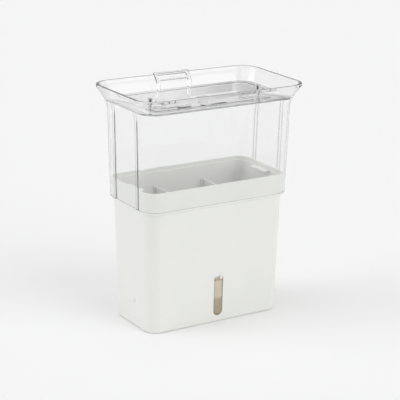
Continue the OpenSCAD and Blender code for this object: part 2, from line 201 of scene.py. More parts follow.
class Loft:
    """A closed mesh drawn from one rounded section to the next."""

    def __init__(self, first: Section, corner_steps: int) -> None:
        """Spins the four corners of the first section and joins them into a ring.

        Args:
            first: The section that the loft starts from.
            corner_steps: Number of edges in each corner's arc.
        """
        self.mesh = bmesh.new()
        self.section = first
        self.arcs: dict[Corner, list[BMVert]] = {}
        for corner in Corner:
            centre = first.centre(corner)
            count = len(self.mesh.verts)
            start = self.mesh.verts.new(centre + corner.start * first.corner_radius(corner))
            bmesh.ops.spin(
                self.mesh,
                geom=[start],
                cent=centre,
                axis=(0, 0, 1),
                angle=math.pi / 2,
                steps=corner_steps,
            )
            self.mesh.verts.ensure_lookup_table()
            self.arcs[corner] = list(self.mesh.verts[count:])
        order = list(Corner)
        for here, after in zip(order, order[1:] + order[:1]):
            self.mesh.edges.new((self.arcs[here][-1], self.arcs[after][0]))
        self.ring: list[BMEdge] = list(self.mesh.edges)

    def cap(self) -> "Loft":
        """Closes the ring that the loft has reached with one face."""
        bmesh.ops.contextual_create(self.mesh, geom=self.ring)
        return self

    def draw_to(self, section: Section) -> "Loft":
        """Extrudes the ring and fits the new one to a section.

        Args:
            section: The next section.

        Returns:
            The loft itself.
        """
        made = bmesh.ops.extrude_edge_only(self.mesh, edges=self.ring)["geom"]
        fresh = {g for g in made if isinstance(g, BMVert)}
        self.ring = [g for g in made if isinstance(g, BMEdge) and fresh.issuperset(g.verts)]
        for corner, arc in self.arcs.items():
            moved = [
                next(e.other_vert(v) for e in v.link_edges if e.other_vert(v) in fresh)
                for v in arc
            ]
            old, new = self.section.centre(corner), section.centre(corner)
            scale = section.corner_radius(corner) / self.section.corner_radius(corner)
            bmesh.ops.scale(
                self.mesh, vec=(scale, scale, 1), space=Matrix.Translation(-old), verts=moved
            )
            bmesh.ops.translate(self.mesh, vec=new - old, verts=moved)
            self.arcs[corner] = moved
        self.section = section
        return self

    @classmethod
    def solid(cls, sections: Sequence[Section], corner_steps: int) -> BMesh:
        """A solid through sections, closed with a flat face at both ends.

        Args:
            sections: The sections, in order.
            corner_steps: Number of edges in each corner's arc.

        Returns:
            The closed mesh.
        """
        loft = cls(sections[0], corner_steps).cap()
        for section in sections[1:]:
            loft.draw_to(section)
        return tidy(loft.cap().mesh)

    @classmethod
    def band(cls, sections: Sequence[Section], corner_steps: int) -> BMesh:
        """An endless wall through sections, which comes back to the first.

        Args:
            sections: The sections, in order.
            corner_steps: Number of edges in each corner's arc.

        Returns:
            The closed mesh.
        """
        loft = cls(sections[0], corner_steps)
        for section in list(sections[1:]) + [sections[0]]:
            loft.draw_to(section)
        return tidy(loft.mesh)


@dataclass(frozen=True)
class Bar:
    """A straight bar: a side outline in Y and Z, drawn along X, then turned about Z and placed."""

    outline: Outline
    start: float
    length: float
    edge: float = 0.0
    turn: float = 0.0
    place: Point = (0.0, 0.0, 0.0)
    edge_steps: int = 2

    def mesh(self) -> BMesh:
        """The bar as a mesh with soft edges.

        Returns:
            The mesh, turned and in its place.
        """
        mesh = bmesh.new()
        points = [mesh.verts.new((self.start, y, z)) for y, z in self.outline]
        sides = [mesh.edges.new(pair) for pair in zip(points, points[1:] + points[:1])]
        face = bmesh.ops.contextual_create(mesh, geom=sides)["faces"]
        made = bmesh.ops.extrude_face_region(mesh, geom=face)["geom"]
        ends = [g for g in made if isinstance(g, BMVert)]
        bmesh.ops.translate(mesh, vec=(self.length, 0, 0), verts=ends)
        bmesh.ops.recalc_face_normals(mesh, faces=mesh.faces)
        if self.edge:
            bevel(mesh, mesh.edges, self.edge, self.edge_steps)
        turn = Matrix.Rotation(math.radians(self.turn), 4, "Z")
        bmesh.ops.transform(mesh, matrix=Matrix.Translation(self.place) @ turn, verts=mesh.verts)
        return tidy(mesh)


def bevel(mesh: BMesh, edges: Iterable[BMEdge], width: float, steps: int) -> None:
    """Rounds edges of a mesh.

    Args:
        mesh: The mesh that changes.
        edges: Its edges to round.
        width: How far the rounding reaches from each edge.
        steps: Number of faces across it.
    """
    bmesh.ops.bevel(
        mesh,
        geom=list(edges),
        offset=width,
        offset_type="OFFSET",
        segments=steps,
        profile=0.5,
        affect="EDGES",
        clamp_overlap=True,
        material=-1,
    )


def tidy(mesh: BMesh) -> BMesh:
    """Merges doubled points of a mesh and turns its faces outwards.

    Args:
        mesh: The mesh that changes.

    Returns:
        The same mesh.
    """
    bmesh.ops.remove_doubles(mesh, verts=mesh.verts, dist=MERGE)
    bmesh.ops.dissolve_degenerate(mesh, edges=mesh.edges, dist=MERGE)
    bmesh.ops.recalc_face_normals(mesh, faces=mesh.faces)
    return mesh


def lathe(points: Sequence[tuple[float, float]], centre: Vector, steps: int) -> BMesh:
    """A turned solid.

    Args:
        points: Distance from the axis and height of each point of the profile.
        centre: Foot of the upright axis.
        steps: Number of faces around it.

    Returns:
        The closed mesh.
    """
    mesh = bmesh.new()
    profile = [mesh.verts.new(centre + Vector((r, 0, z))) for r, z in points]
    for low, high in zip(profile, profile[1:]):
        mesh.edges.new((low, high))
    bmesh.ops.spin(
        mesh,
        geom=list(mesh.verts) + list(mesh.edges),
        cent=centre,
        axis=(0, 0, 1),
        angle=2 * math.pi,
        steps=steps,
        use_merge=True,
    )
    return tidy(mesh)


def arc(
    centre: tuple[float, float], radius: float, start: float, end: float, steps: int
) -> list[tuple[float, float]]:
    """Points of an arc, at angles in degrees, both ends included."""
    angles = [math.radians(start + (end - start) * i / steps) for i in range(steps + 1)]
    return [(centre[0] + radius * math.cos(a), centre[1] + radius * math.sin(a)) for a in angles]


def rounding(
    level: Callable[[float, float], Section],
    z: float,
    inset: float,
    radius: float,
    start: float,
    end: float,
    steps: int,
) -> list[Section]:
    """Sections around a soft edge.

    Args:
        level: Gives the section at a level and an inset.
        z: Level of the arc's centre.
        inset: Inset of the arc's centre.
        radius: The arc's radius.
        start: Angle of its first point in degrees. Out is 0 and up is 90.
        end: Angle of its last point.
        steps: Number of edges in it.

    Returns:
        The sections, both ends included.
    """
    return [level(z + up, inset - out) for out, up in arc((0, 0), radius, start, end, steps)]


def merged(meshes: Iterable[BMesh]) -> BMesh:
    """Several meshes as one, without joining their surfaces.

    Args:
        meshes: The meshes, which are used up.

    Returns:
        The whole mesh.
    """
    whole = bmesh.new()
    for mesh in meshes:
        part = bpy.data.meshes.new("part")
        mesh.to_mesh(part)
        mesh.free()
        whole.from_mesh(part)
        bpy.data.meshes.remove(part)
    return whole


def as_object(name: str, mesh: BMesh) -> bpy.types.Object:
    """Makes an object of a mesh, at the origin.

    Args:
        name: Name of the object and its mesh.
        mesh: The mesh, which is used up.

    Returns:
        The object.
    """
    data = bpy.data.meshes.new(name)
    mesh.to_mesh(data)
    mesh.free()
    piece = bpy.data.objects.new(name, data)
    bpy.context.scene.collection.objects.link(piece)
    return piece


def combine(piece: bpy.types.Object, mesh: BMesh, how: Join) -> None:
    """Adds a solid to a piece or cuts it out.

    Args:
        piece: The object that changes.
        mesh: The other solid, which is used up.
        how: Whether it is added or cut out.
    """
    tool = as_object("tool", mesh)
    modifier = piece.modifiers.new("combine", "BOOLEAN")
    modifier.operation = how.value
    modifier.solver = "EXACT"
    modifier.object = tool
    graph = bpy.context.evaluated_depsgraph_get()
    result = bpy.data.meshes.new_from_object(piece.evaluated_get(graph))
    piece.modifiers.clear()
    old, piece.data = piece.data, result
    bpy.data.meshes.remove(old)
    bpy.data.objects.remove(tool)
    mesh = bmesh.new()
    mesh.from_mesh(result)
    tidy(mesh).to_mesh(result)
    mesh.free()


def shade(piece: bpy.types.Object) -> None:
    """Shades a piece smooth across shallow edges, with its large flat faces kept flat.

    Args:
        piece: The piece.
    """
    piece.data.shade_smooth()
    piece.data.set_sharp_from_angle(angle=math.radians(SMOOTH_ANGLE))
    even = piece.modifiers.new("even_normals", "WEIGHTED_NORMAL")
    even.keep_sharp = True


def place(
    piece: bpy.types.Object, body: Body, slot: Slot, finish: "Finish", *nodes: str
) -> None:
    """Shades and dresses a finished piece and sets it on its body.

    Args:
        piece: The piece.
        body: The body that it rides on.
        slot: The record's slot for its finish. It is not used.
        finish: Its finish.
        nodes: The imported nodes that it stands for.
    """
    shade(piece)
    piece.data.materials.clear()
    piece.data.materials.append(finish.material())
    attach(piece, body.value)
    if nodes:
        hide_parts(*nodes)
    log.info("%s: %d faces on %s", piece.name, len(piece.data.polygons), body.value)


# Shader making ----------------------------------------------------------------


class Wire:
    """A socket of a shader tree. Python's operators on it add Math nodes."""

    def __init__(self, tree: "Tree", socket: bpy.types.NodeSocket) -> None:
        """Wraps a socket of a tree."""
        self.tree = tree
        self.socket = socket

    def math(self, operation: str, *operands: "Wire | float") -> "Wire":
        """Adds a Math node on the given operands."""
        return self.tree.math(operation, *operands)

    def __add__(self, other: "Wire | float") -> "Wire":
        """Sum."""
        return self.math("ADD", self, other)

    __radd__ = __add__

    def __sub__(self, other: "Wire | float") -> "Wire":
        """Difference."""
        return self.math("SUBTRACT", self, other)

    def __rsub__(self, other: float) -> "Wire":
        """Difference from a number."""
        return self.math("SUBTRACT", other, self)

    def __mul__(self, other: "Wire | float") -> "Wire":
        """Product."""
        return self.math("MULTIPLY", self, other)

    __rmul__ = __mul__

    def __abs__(self) -> "Wire":
        """Size without its sign."""
        return self.math("ABSOLUTE", self)

    def rise(self, low: float, high: float) -> "Wire":
        """Goes smoothly from 0 at low to 1 at high.

        Args:
            low: Where it starts to climb.
            high: Where it has reached 1.

        Returns:
            The result.
        """
        node = self.tree.add(
            "ShaderNodeMapRange",
            {"interpolation_type": "SMOOTHSTEP"},
            {"Value": self, "From Min": low, "From Max": high},
        )
        return self.tree.wire(node, "Result")


class Tree:
    """A node tree that is being built."""

    def __init__(self, tree: bpy.types.NodeTree) -> None:
        """Empties a tree and starts on it."""
        self.tree = tree
        tree.nodes.clear()

    def add(
        self,
        kind: str,
        settings: dict[str, object] | None = None,
        inputs: dict[str | int, object] | None = None,
    ) -> bpy.types.Node:
        """Adds a node.

        Args:
            kind: The node's type.
            settings: Its properties.
            inputs: The values or wires of its sockets.

        Returns:
            The node.
        """
        node = self.tree.nodes.new(kind)
        for name, value in (settings or {}).items():
            setattr(node, name, value)
        for key, value in (inputs or {}).items():
            if isinstance(value, Wire):
                self.tree.links.new(value.socket, node.inputs[key])
            else:
                node.inputs[key].default_value = value
        return node

    def wire(self, node: bpy.types.Node, output: str | int = 0) -> Wire:
        """One output of a node."""
        return Wire(self, node.outputs[output])

    def math(self, operation: str, *operands: Wire | float) -> Wire:
        """The result of a Math node."""
        node = self.add("ShaderNodeMath", {"operation": operation}, dict(enumerate(operands)))
        return self.wire(node)

    def place(self) -> Wire:
        """Object coordinates."""
        return self.wire(self.add("ShaderNodeTexCoord"), "Object")

    def axes(self) -> tuple[Wire, Wire, Wire]:
        """X, Y and Z of the object coordinates."""
        node = self.add("ShaderNodeSeparateXYZ", None, {0: self.place()})
        return self.wire(node, "X"), self.wire(node, "Y"), self.wire(node, "Z")

    def noise(self, size: float, detail: float = 2.0, stretch: Point | None = None) -> Wire:
        """Cloudy noise between 0 and 1.

        Args:
            size: Size of its spots in metres.
            detail: How many finer layers it has.
            stretch: Scale of the coordinates along each axis, if it isn't even.

        Returns:
            The noise's value.
        """
        point = self.place()
        if stretch is not None:
            mapping = self.add("ShaderNodeMapping", None, {"Vector": point, "Scale": stretch})
            point = self.wire(mapping)
        node = self.add(
            "ShaderNodeTexNoise", None, {"Vector": point, "Scale": 1 / size, "Detail": detail}
        )
        return self.wire(node)

    def blend(self, share: Wire, first: Colour | Wire, second: Colour | Wire) -> Wire:
        """A colour between two colours.

        Args:
            share: 0 for the first colour and 1 for the second.
            first: The first colour.
            second: The second colour.

        Returns:
            The colour between them.
        """
        ends = [end if isinstance(end, Wire) else (*end, 1.0) for end in (first, second)]
        node = self.add(
            "ShaderNodeMix", {"data_type": "RGBA"}, {"Factor": share, 6: ends[0], 7: ends[1]}
        )
        return self.wire(node, 2)

    def bump(self, height: Wire, depth: float) -> Wire:
        """A normal that follows a height given in parts of a depth in metres."""
        return self.wire(self.add("ShaderNodeBump", None, {"Height": height, "Distance": depth}))

    def mix(self, share: Wire, first: Wire, second: Wire) -> Wire:
        """A shader that goes from the first to the second."""
        return self.wire(self.add("ShaderNodeMixShader", None, {0: share, 1: first, 2: second}))

    def principled(self, colour: Wire, roughness: Wire, normal: Wire, **fixed: float) -> Wire:
        """A Principled shader.

        Args:
            colour: Its base colour.
            roughness: Its roughness.
            normal: Its normal.
            fixed: Further inputs, each under its name with underscores for spaces.

        Returns:
            The shader.
        """
        inputs = {"Base Color": colour, "Roughness": roughness, "Normal": normal}
        inputs |= {name.replace("_", " "): value for name, value in fixed.items()}
        return self.wire(self.add("ShaderNodeBsdfPrincipled", None, inputs))

    def show(self, surface: Wire, **more: Wire) -> None:
        """Ends the tree of a material."""
        self.add("ShaderNodeOutputMaterial", None, {"Surface": surface, **more})


@dataclass(frozen=True)
class Finish:
    """A finish of the keeper's surfaces."""

    name: str

    def material(self) -> bpy.types.Material:
        """The finish's material, made the first time it is asked for.

        Returns:
            The material.
        """
        found = bpy.data.materials.get(self.name)
        if found is not None:
            return found
        made = bpy.data.materials.new(self.name)
        made.use_nodes = True
        self.wire_up(Tree(made.node_tree))
        return made

    def wire_up(self, tree: Tree) -> None:
        """Fills the material's node tree."""
        raise NotImplementedError


@dataclass(frozen=True)
class SatinPlastic(Finish):
    """Opaque moulded plastic with a fine satin texture and faint flow marks."""

    light: Colour = (0.80, 0.808, 0.775)
    dark: Colour = (0.775, 0.785, 0.75)
    roughness: float = 0.36
    roughness_swing: float = 0.04
    grain: float = 0.35 * MM
    grain_depth: float = 0.012 * MM
    grain_share: float = 0.15
    flow: float = 55 * MM
    flow_share: float = 0.6
    # How far marks are darkened, as painted shade
    mark_shade_share: float = 0.9
    mark_depth: float = 2.0
    ior: float = 1.47

    def marks(self, tree: Tree) -> Wire | None:
        """Shallow marks in the surface, from 0 to 1, if it has any."""
        return None

    def wire_up(self, tree: Tree) -> None:
        """Fills the material's node tree.

        Args:
            tree: The material's tree.
        """
        cloud = tree.noise(self.flow, 3.0)
        grain = tree.noise(self.grain, 2.0)
        marks = self.marks(tree)
        flow = cloud.rise(0.35, 0.65) * self.flow_share
        darker = flow + grain.rise(0.3, 0.7) * self.grain_share
        height = grain
        # Marks are dented by the bump and darkened with painted shade
        if marks is not None:
            darker = darker + marks * self.mark_shade_share
            height = grain - marks * self.mark_depth
        shader = tree.principled(
            tree.blend(darker, self.light, self.dark),
            cloud * (2 * self.roughness_swing) + (self.roughness - self.roughness_swing),
            tree.bump(height, self.grain_depth),
            IOR=self.ior,
        )
        tree.show(shader)


@dataclass(frozen=True)
class ShellPlastic(SatinPlastic):
    """The container's plastic, with sink marks where its brackets meet the front wall, dented and
    darkened with painted shade.
    """

    bracket_x: float = 33 * MM
    bracket_low: float = 105 * MM
    bracket_high: float = 118 * MM
    mark_half: float = 1.3 * MM
    mark_core: float = 0.3
    mark_fade: float = 1.5 * MM

    def marks(self, tree: Tree) -> Wire:
        """Upright marks over the four brackets.

        Args:
            tree: The material's tree.

        Returns:
            1 in the middle of each mark and 0 away from them.
        """
        x, _, z = tree.axes()
        away = abs(abs(x) - self.bracket_x)
        across = 1 - away.rise(self.mark_half * self.mark_core, self.mark_half)
        low = z.rise(self.bracket_low, self.bracket_low + self.mark_fade)
        high = 1 - z.rise(self.bracket_high - self.mark_fade, self.bracket_high)
        return across * low * high


@dataclass(frozen=True)
class ClearPlastic(Finish):
    """Clear moulded plastic: it lets lamps through, and its colour is darkened with painted shade
    where it is seen edge-on, and, where asked, along a foot line and beside upright rails.
    """

    tint: Colour = (0.997, 0.998, 0.996)
    # Painted shade: the colour that the plastic turns to where it is seen edge-on
    edge_shade_colour: Colour = (0.24, 0.24, 0.236)
    edge_shade_from: float = 0.67
    edge_shade_to: float = 0.84
    through: Colour = (0.995, 0.996, 0.993)
    roughness: float = 0.0
    haze: float = 0.02
    ior: float = 1.49
    absorb: Colour = (0.70, 0.703, 0.70)
    density: float = 38.0
    ripple: float = 26 * MM
    ripple_depth: float = 0.02 * MM
    # Painted shade: a dark line along the foot, below this level; 0 for none
    foot: float = 0.0
    foot_shade_rise: float = 0.7 * MM
    foot_shade_share: float = 0.75
    # Painted shade: dark lines beside the rails on the end walls; 0 for none
    rail_y: float = 0.0
    rail_half: float = 2.8 * MM
    rail_shade_width: float = 0.5 * MM
    rail_top: float = 264 * MM
    rail_fade: float = 2 * MM
    rail_shade_share: float = 0.8

    def painted_rail_shade(self, tree: Tree) -> Wire:
        """Painted shade: dark lines along the edges of the upright rails on the end walls.

        Args:
            tree: The material's tree.

        Returns:
            The painted shade's strength, from 0 to 1.
        """
        _, y, z = tree.axes()
        away = abs(abs(abs(y) - self.rail_y) - self.rail_half)
        line = 1 - away.rise(self.rail_shade_width / 2, self.rail_shade_width)
        below = 1 - z.rise(self.rail_top - self.rail_fade, self.rail_top)
        return line * below * self.rail_shade_share

    def wire_up(self, tree: Tree) -> None:
        """Fills the material's node tree.

        Args:
            tree: The material's tree.
        """
        cloud = tree.noise(self.ripple, 1.0)
        # Painted shade, strongest where the surface is seen edge-on
        slant = tree.wire(tree.add("ShaderNodeLayerWeight"), "Facing")
        edge = slant.rise(self.edge_shade_from, self.edge_shade_to)
        # Painted shade along the foot
        if self.foot:
            low = 1 - tree.axes()[2].rise(self.foot, self.foot + self.foot_shade_rise)
            edge = tree.math("MAXIMUM", edge, low * self.foot_shade_share)
        # Painted shade lines beside the rails
        if self.rail_y:
            edge = tree.math("MAXIMUM", edge, self.painted_rail_shade(tree))
        shader = tree.principled(
            tree.blend(edge, self.tint, self.edge_shade_colour),
            cloud.rise(0.4, 0.8) * self.haze + self.roughness,
            tree.bump(cloud, self.ripple_depth),
            IOR=self.ior,
            Transmission_Weight=1.0,
        )
        clear = {"Color": (*self.through, 1.0)}
        open_air = tree.wire(tree.add("ShaderNodeBsdfTransparent", None, clear))
        path = tree.add("ShaderNodeLightPath")
        soft = tree.mix(tree.wire(path, "Is Diffuse Ray"), shader, open_air)
        lit = tree.mix(tree.wire(path, "Is Shadow Ray"), soft, open_air)
        depth = {"Color": (*self.absorb, 1.0), "Density": self.density}
        tree.show(lit, Volume=tree.wire(tree.add("ShaderNodeVolumeAbsorption", None, depth)))


@dataclass(frozen=True)
class LidPlastic(ClearPlastic):
    """The clear plastic of the lid and its slider: paler, and a little worn."""

    tint: Colour = (0.998, 0.999, 0.998)
    # Painted shade only where the surface is seen almost edge-on
    edge_shade_from: float = 0.95
    edge_shade_to: float = 1.0
    roughness: float = 0.05
    haze: float = 0.04
    absorb: Colour = (0.78, 0.785, 0.785)
    density: float = 16.0


@dataclass(frozen=True)
class SmokedPlastic(Finish):
    """The level window's smoked plastic: paler above, deeper below, and darkened with painted shade
    along its sides and ends.
    """

    upper: Colour = (0.765, 0.69, 0.565)
    lower: Colour = (0.47, 0.405, 0.30)
    streak: Colour = (0.68, 0.57, 0.39)
    # Painted shade along the window's sides and ends
    side: Colour = (0.22, 0.155, 0.09)
    top: Colour = (0.70, 0.67, 0.62)
    turn_low: float = 27 * MM
    turn_high: float = 34 * MM
    turn_wobble: float = 6 * MM
    wobble_size: float = 9 * MM
    wobble_depth: float = 0.05 * MM
    middle_x: float = 2.5 * MM
    side_shade_from: float = 3.6 * MM
    side_shade_to: float = 6.2 * MM
    right_shade_share: float = 0.6
    left_shade_share: float = 0.5
    left_shade_fade: float = 0.3
    foot_low: float = 8 * MM
    foot_high: float = 12.5 * MM
    head_low: float = 50 * MM
    head_high: float = 53.5 * MM
    end_shade_share: float = 0.5
    rim_share: float = 0.8
    top_high: float = 55.2 * MM
    streak_size: float = 5 * MM
    streak_stretch: Point = (1.6, 1.0, 0.45)
    streak_share: float = 0.5
    streak_dulls: float = 0.35
    roughness: float = 0.12
    roughness_swing: float = 0.15
    ior: float = 1.49
    clearness: float = 0.25

    def wire_up(self, tree: Tree) -> None:
        """Fills the material's node tree.

        Args:
            tree: The material's tree.
        """
        x, _, z = tree.axes()
        streaks = tree.noise(self.streak_size, 3.0, self.streak_stretch)
        wobble = tree.noise(self.wobble_size, 2.0)
        level = (z + (wobble - 0.5) * self.turn_wobble).rise(self.turn_low, self.turn_high)
        across = x - self.middle_x
        # Painted shade along the sides and ends, where the pane sits sunk in its slot
        right = across.rise(self.side_shade_from, self.side_shade_to) * self.right_shade_share
        left_shade_share = self.left_shade_share - level * self.left_shade_fade
        left = (across * -1).rise(self.side_shade_from, self.side_shade_to) * left_shade_share
        foot = (1 - z.rise(self.foot_low, self.foot_high)) * self.end_shade_share
        head = z.rise(self.head_low, self.head_high) * self.end_shade_share
        rim = tree.math("MINIMUM", right + left + foot + head, self.rim_share)
        lit = streaks.rise(0.42, 0.72)
        streaked = tree.blend(lit * self.streak_share, self.lower, self.streak)
        ground = tree.blend(level * (1 - lit * self.streak_dulls), streaked, self.upper)
        edged = tree.blend(rim, ground, self.side)
        strip = z.rise(self.head_high, self.top_high) * self.rim_share
        shader = tree.principled(
            tree.blend(strip, edged, self.top),
            streaks * self.roughness_swing + self.roughness,
            tree.bump(wobble, self.wobble_depth),
            IOR=self.ior,
            Transmission_Weight=self.clearness,
        )
        tree.show(shader)


@dataclass(frozen=True)
class Mottled(Finish):
    """A matt finish in two close colours, with small uneven spots."""

    light: Colour
    dark: Colour
    spot: float = 1.5 * MM
    detail: float = 3.0
    dark_from: float = 0.35
    dark_to: float = 0.7
    roughness: float = 0.55
    roughness_swing: float = 0.2
    depth: float = 0.02 * MM

    def wire_up(self, tree: Tree) -> None:
        """Fills the material's node tree.

        Args:
            tree: The material's tree.
        """
        spots = tree.noise(self.spot, self.detail)
        shader = tree.principled(
            tree.blend(spots.rise(self.dark_from, self.dark_to), self.light, self.dark),
            spots * self.roughness_swing + self.roughness,
            tree.bump(spots, self.depth),
        )
        tree.show(shader)


@dataclass(frozen=True)
class DarkSteel(Finish):
    """Finely turned steel, dark above a level and light below."""

    light: Colour = (0.62, 0.62, 0.63)
    dark: Colour = (0.035, 0.035, 0.038)
    # The colour turns from light to dark between these levels
    head_low: float = 267 * MM
    head_high: float = 268 * MM
    turning: float = 1.2 * MM
    turning_stretch: Point = (0.15, 0.15, 6.0)
    turned_share: float = 0.07
    turned_depth: float = 0.01 * MM
    roughness: float = 0.2
    roughness_swing: float = 0.25
    metallic: float = 0.85

    def wire_up(self, tree: Tree) -> None:
        """Fills the material's node tree.

        Args:
            tree: The material's tree.
        """
        turned = tree.noise(self.turning, 3.0, self.turning_stretch)
        head = tree.axes()[2].rise(self.head_low, self.head_high)
        darker = head * (1 - self.turned_share) + turned * self.turned_share
        shader = tree.principled(
            tree.blend(darker, self.light, self.dark),
            turned * self.roughness_swing + self.roughness,
            tree.bump(turned, self.turned_depth),
            Metallic=self.metallic,
        )
        tree.show(shader)


@dataclass(frozen=True)
class PaleFloor(Finish):
    """The studio's plain pale floor."""

    colour: Colour = (0.93, 0.93, 0.93)

    def wire_up(self, tree: Tree) -> None:
        """Fills the material's node tree."""
        diffuse = tree.add("ShaderNodeBsdfDiffuse", None, {"Color": (*self.colour, 1.0)})
        tree.show(tree.wire(diffuse))


# The keeper's pieces -----------------------------------------------------------


@dataclass
class Container:
    """The white water container: foot, tapered walls, shoulder, ledge and collar."""

    draft: float = 3.3 * MM
    corner: float = 14.8 * MM
    wall: float = 2.2 * MM
    floor: float = 2.6 * MM
    foot_round: float = 2.4 * MM
    foot_rim: float = 7 * MM
    foot_hollow: float = 0.8 * MM
    shoulder_height: float = 3.7 * MM
    shoulder_out: float = 2.9 * MM
    shoulder_round: float = 0.45 * MM
    groove_width: float = 0.8 * MM
    groove_edge: float = 0.2 * MM
    groove_lip: float = 0.06 * MM
    ledge: float = 1.2 * MM
    collar_foot: float = 0.2 * MM
    collar_height: float = 23 * MM
    collar_wall: float = 1.9 * MM
    collar_corner: float = 14.9 * MM
    collar_round: float = 0.7 * MM
    soft: float = 0.3 * MM
    fillet: float = 4 * MM
    lug_length: float = 21 * MM
    lug_height: float = 7.4 * MM
    lug_out: float = 1.8 * MM
    lug_z: float = 33 * MM
    lug_round: float = 2.8 * MM
    lug_steps: int = 8
    bracket_x: float = 33 * MM
    bracket_width: float = 3 * MM
    bracket_height: float = 13 * MM
    bracket_out: float = 6 * MM
    corner_steps: int = 18
    finish: Finish = ShellPlastic("shell_plastic")

    def __post_init__(self) -> None:
        """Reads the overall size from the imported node."""
        low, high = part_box("container")
        self.width = high.x - low.x
        self.depth = high.y - low.y
        self.top = high.z
        self.ledge_z = self.top - self.collar_height
        self.body_height = self.ledge_z - self.shoulder_height
        self.foot_width = self.width - 2 * (self.draft + self.shoulder_out)
        self.foot_depth = self.depth - 2 * (self.draft + self.shoulder_out)
        self.lean = math.atan(self.draft / self.body_height)
        # The inner wall steps out between these levels
        self.bend_low = self.body_height - 0.4 * self.shoulder_height
        self.bend_top = self.ledge_z - 0.2 * self.shoulder_height

    def body(self, z: float, inset: float = 0.0) -> Section:
        """Section of the tapered walls.

        Args:
            z: The section's level.
            inset: How far it lies inside the outer face.

        Returns:
            The section.
        """
        grow = 2 * self.draft * z / self.body_height
        whole = Section(z, self.foot_width + grow, self.foot_depth + grow, self.corner)
        return whole.grown(-inset)

    def collar(self, z: float, inset: float = 0.0) -> Section:
        """Section of the collar."""
        width, depth = self.width - 2 * self.ledge, self.depth - 2 * self.ledge
        return Section(z, width, depth, self.collar_corner).grown(-inset)

    def shoulder(self, z: float, inset: float = 0.0) -> Section:
        """Section of the shoulder."""
        return Section(z, self.width, self.depth, self.collar_corner + self.ledge).grown(-inset)

    def on_front(self, mesh: BMesh) -> BMesh:
        """Moves what is drawn flat to the front wall: Y runs up the wall, Z points out of it.

        Args:
            mesh: The mesh that is moved.

        Returns:
            The same mesh, tidied.
        """
        turn = Matrix.Rotation(math.pi / 2 + self.lean, 4, "X")
        matrix = Matrix.Translation((0, -self.foot_depth / 2, 0)) @ turn
        bmesh.ops.transform(mesh, matrix=matrix, verts=mesh.verts)
        return tidy(mesh)

    def underside(self) -> list[Section]:
        """Sections from the hollow of the underside to the foot's round edge.

        Returns:
            The sections, in order.
        """
        rim, hollow, soft, foot = self.foot_rim, self.foot_hollow, self.soft, self.foot_round
        return [
            self.body(0, rim + soft).grown(0, z=hollow),
            self.body(0, rim).grown(0, z=hollow - soft),
            self.body(0, rim).grown(0, z=soft),
            self.body(0, rim - soft),
            *rounding(self.body, foot, foot, foot, -90, 0, 7),
        ]

    def step_out(self) -> list[Section]:
        """Sections up the shoulder, from a fine groove under it to the collar's foot.

        Returns:
            The sections, in order.
        """
        low, turn = self.body_height, self.shoulder_round
        sweep = self.shoulder_height - turn
        return [
            self.body(low - self.groove_width),
            self.body(low - self.groove_edge, -self.groove_lip),
            *[
                self.shoulder(low + sweep * (1 - out), self.shoulder_out * (1 - up))
                for out, up in arc((0, 0), 1.0, 0, 90, 7)[1:]
            ],
            *rounding(self.shoulder, self.ledge_z - turn, turn, turn, 0, 90, 3)[1:],
            self.collar(self.ledge_z, -self.collar_foot),
            self.collar(self.ledge_z + self.collar_foot),
        ]

    def sections(self) -> list[Section]:
        """Sections from the hollow of the underside, over the collar, to the inner floor.

        Returns:
            The sections, in order.
        """
        turn, wall, fillet = self.collar_round, self.collar_wall, self.fillet
        inner = self.foot_hollow + self.floor
        return [
            *self.underside(),
            *self.step_out(),
            *rounding(self.collar, self.top - turn, turn, turn, 0, 90, 4),
            *rounding(self.collar, self.top - turn, wall - turn, turn, 90, 180, 4),
            self.collar(self.bend_top, wall),
            self.body(self.bend_low, self.wall),
            *rounding(self.body, inner + fillet, self.wall + fillet, fillet, 0, -90, 5),
        ]

    def lugs(self) -> BMesh:
        """The oblong lug on each end wall.

        Returns:
            Their mesh.
        """
        made = []
        flat = Section(
            -self.wall / 2, self.lug_length, self.lug_height, self.lug_height / 2 - HAIR
        )
        stand = Matrix.Rotation(math.pi / 2, 4, "Z") @ Matrix.Rotation(
            math.pi / 2 + self.lean, 4, "X"
        )
        out = Matrix.Translation((self.foot_width / 2, 0, 0))
        raised = Matrix.Translation((0, self.lug_z, 0))
        for side in (0, 180):
            path = [flat]
            for step in range(self.lug_steps + 1):
                share = step / self.lug_steps
                rise = self.lug_out * math.sin(math.pi / 2 * share)
                path.append(flat.grown(-self.lug_round * share, z=rise))
            mesh = Loft.solid(path, 10)
            around = Matrix.Rotation(math.radians(side), 4, "Z")
            bmesh.ops.transform(mesh, matrix=around @ out @ stand @ raised, verts=mesh.verts)
            made.append(mesh)
        return merged(made)

    def brackets(self) -> BMesh:
        """The brackets that carry the tray.

        Returns:
            Their mesh.
        """
        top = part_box("tray")[0].z
        bottom = top - self.bracket_height
        near = self.body(bottom).depth / 2 - self.wall
        far = near + self.wall / 2
        outline = (
            (-far, bottom),
            (-near, bottom),
            (self.bracket_out - near, bottom + self.bracket_out),
            (self.bracket_out - near, top),
            (-far, top),
        )
        half = self.bracket_width / 2
        return merged(
            Bar(outline, side * self.bracket_x - half, 2 * half, self.soft, turn).mesh()
            for side in (-1, 1)
            for turn in (0, 180)
        )

    def build(self, window: "LevelWindow") -> None:
        """Builds the container with the slot for its window.

        Args:
            window: The window, which gives the slot its outline.
        """
        shell = as_object("container_shell", Loft.solid(self.sections(), self.corner_steps))
        combine(shell, window.slot(self), Join.CUT)
        combine(shell, self.lugs(), Join.ADD)
        combine(shell, self.brackets(), Join.ADD)
        place(shell, Body.CONTAINER, Slot.SHELL, self.finish, "container")


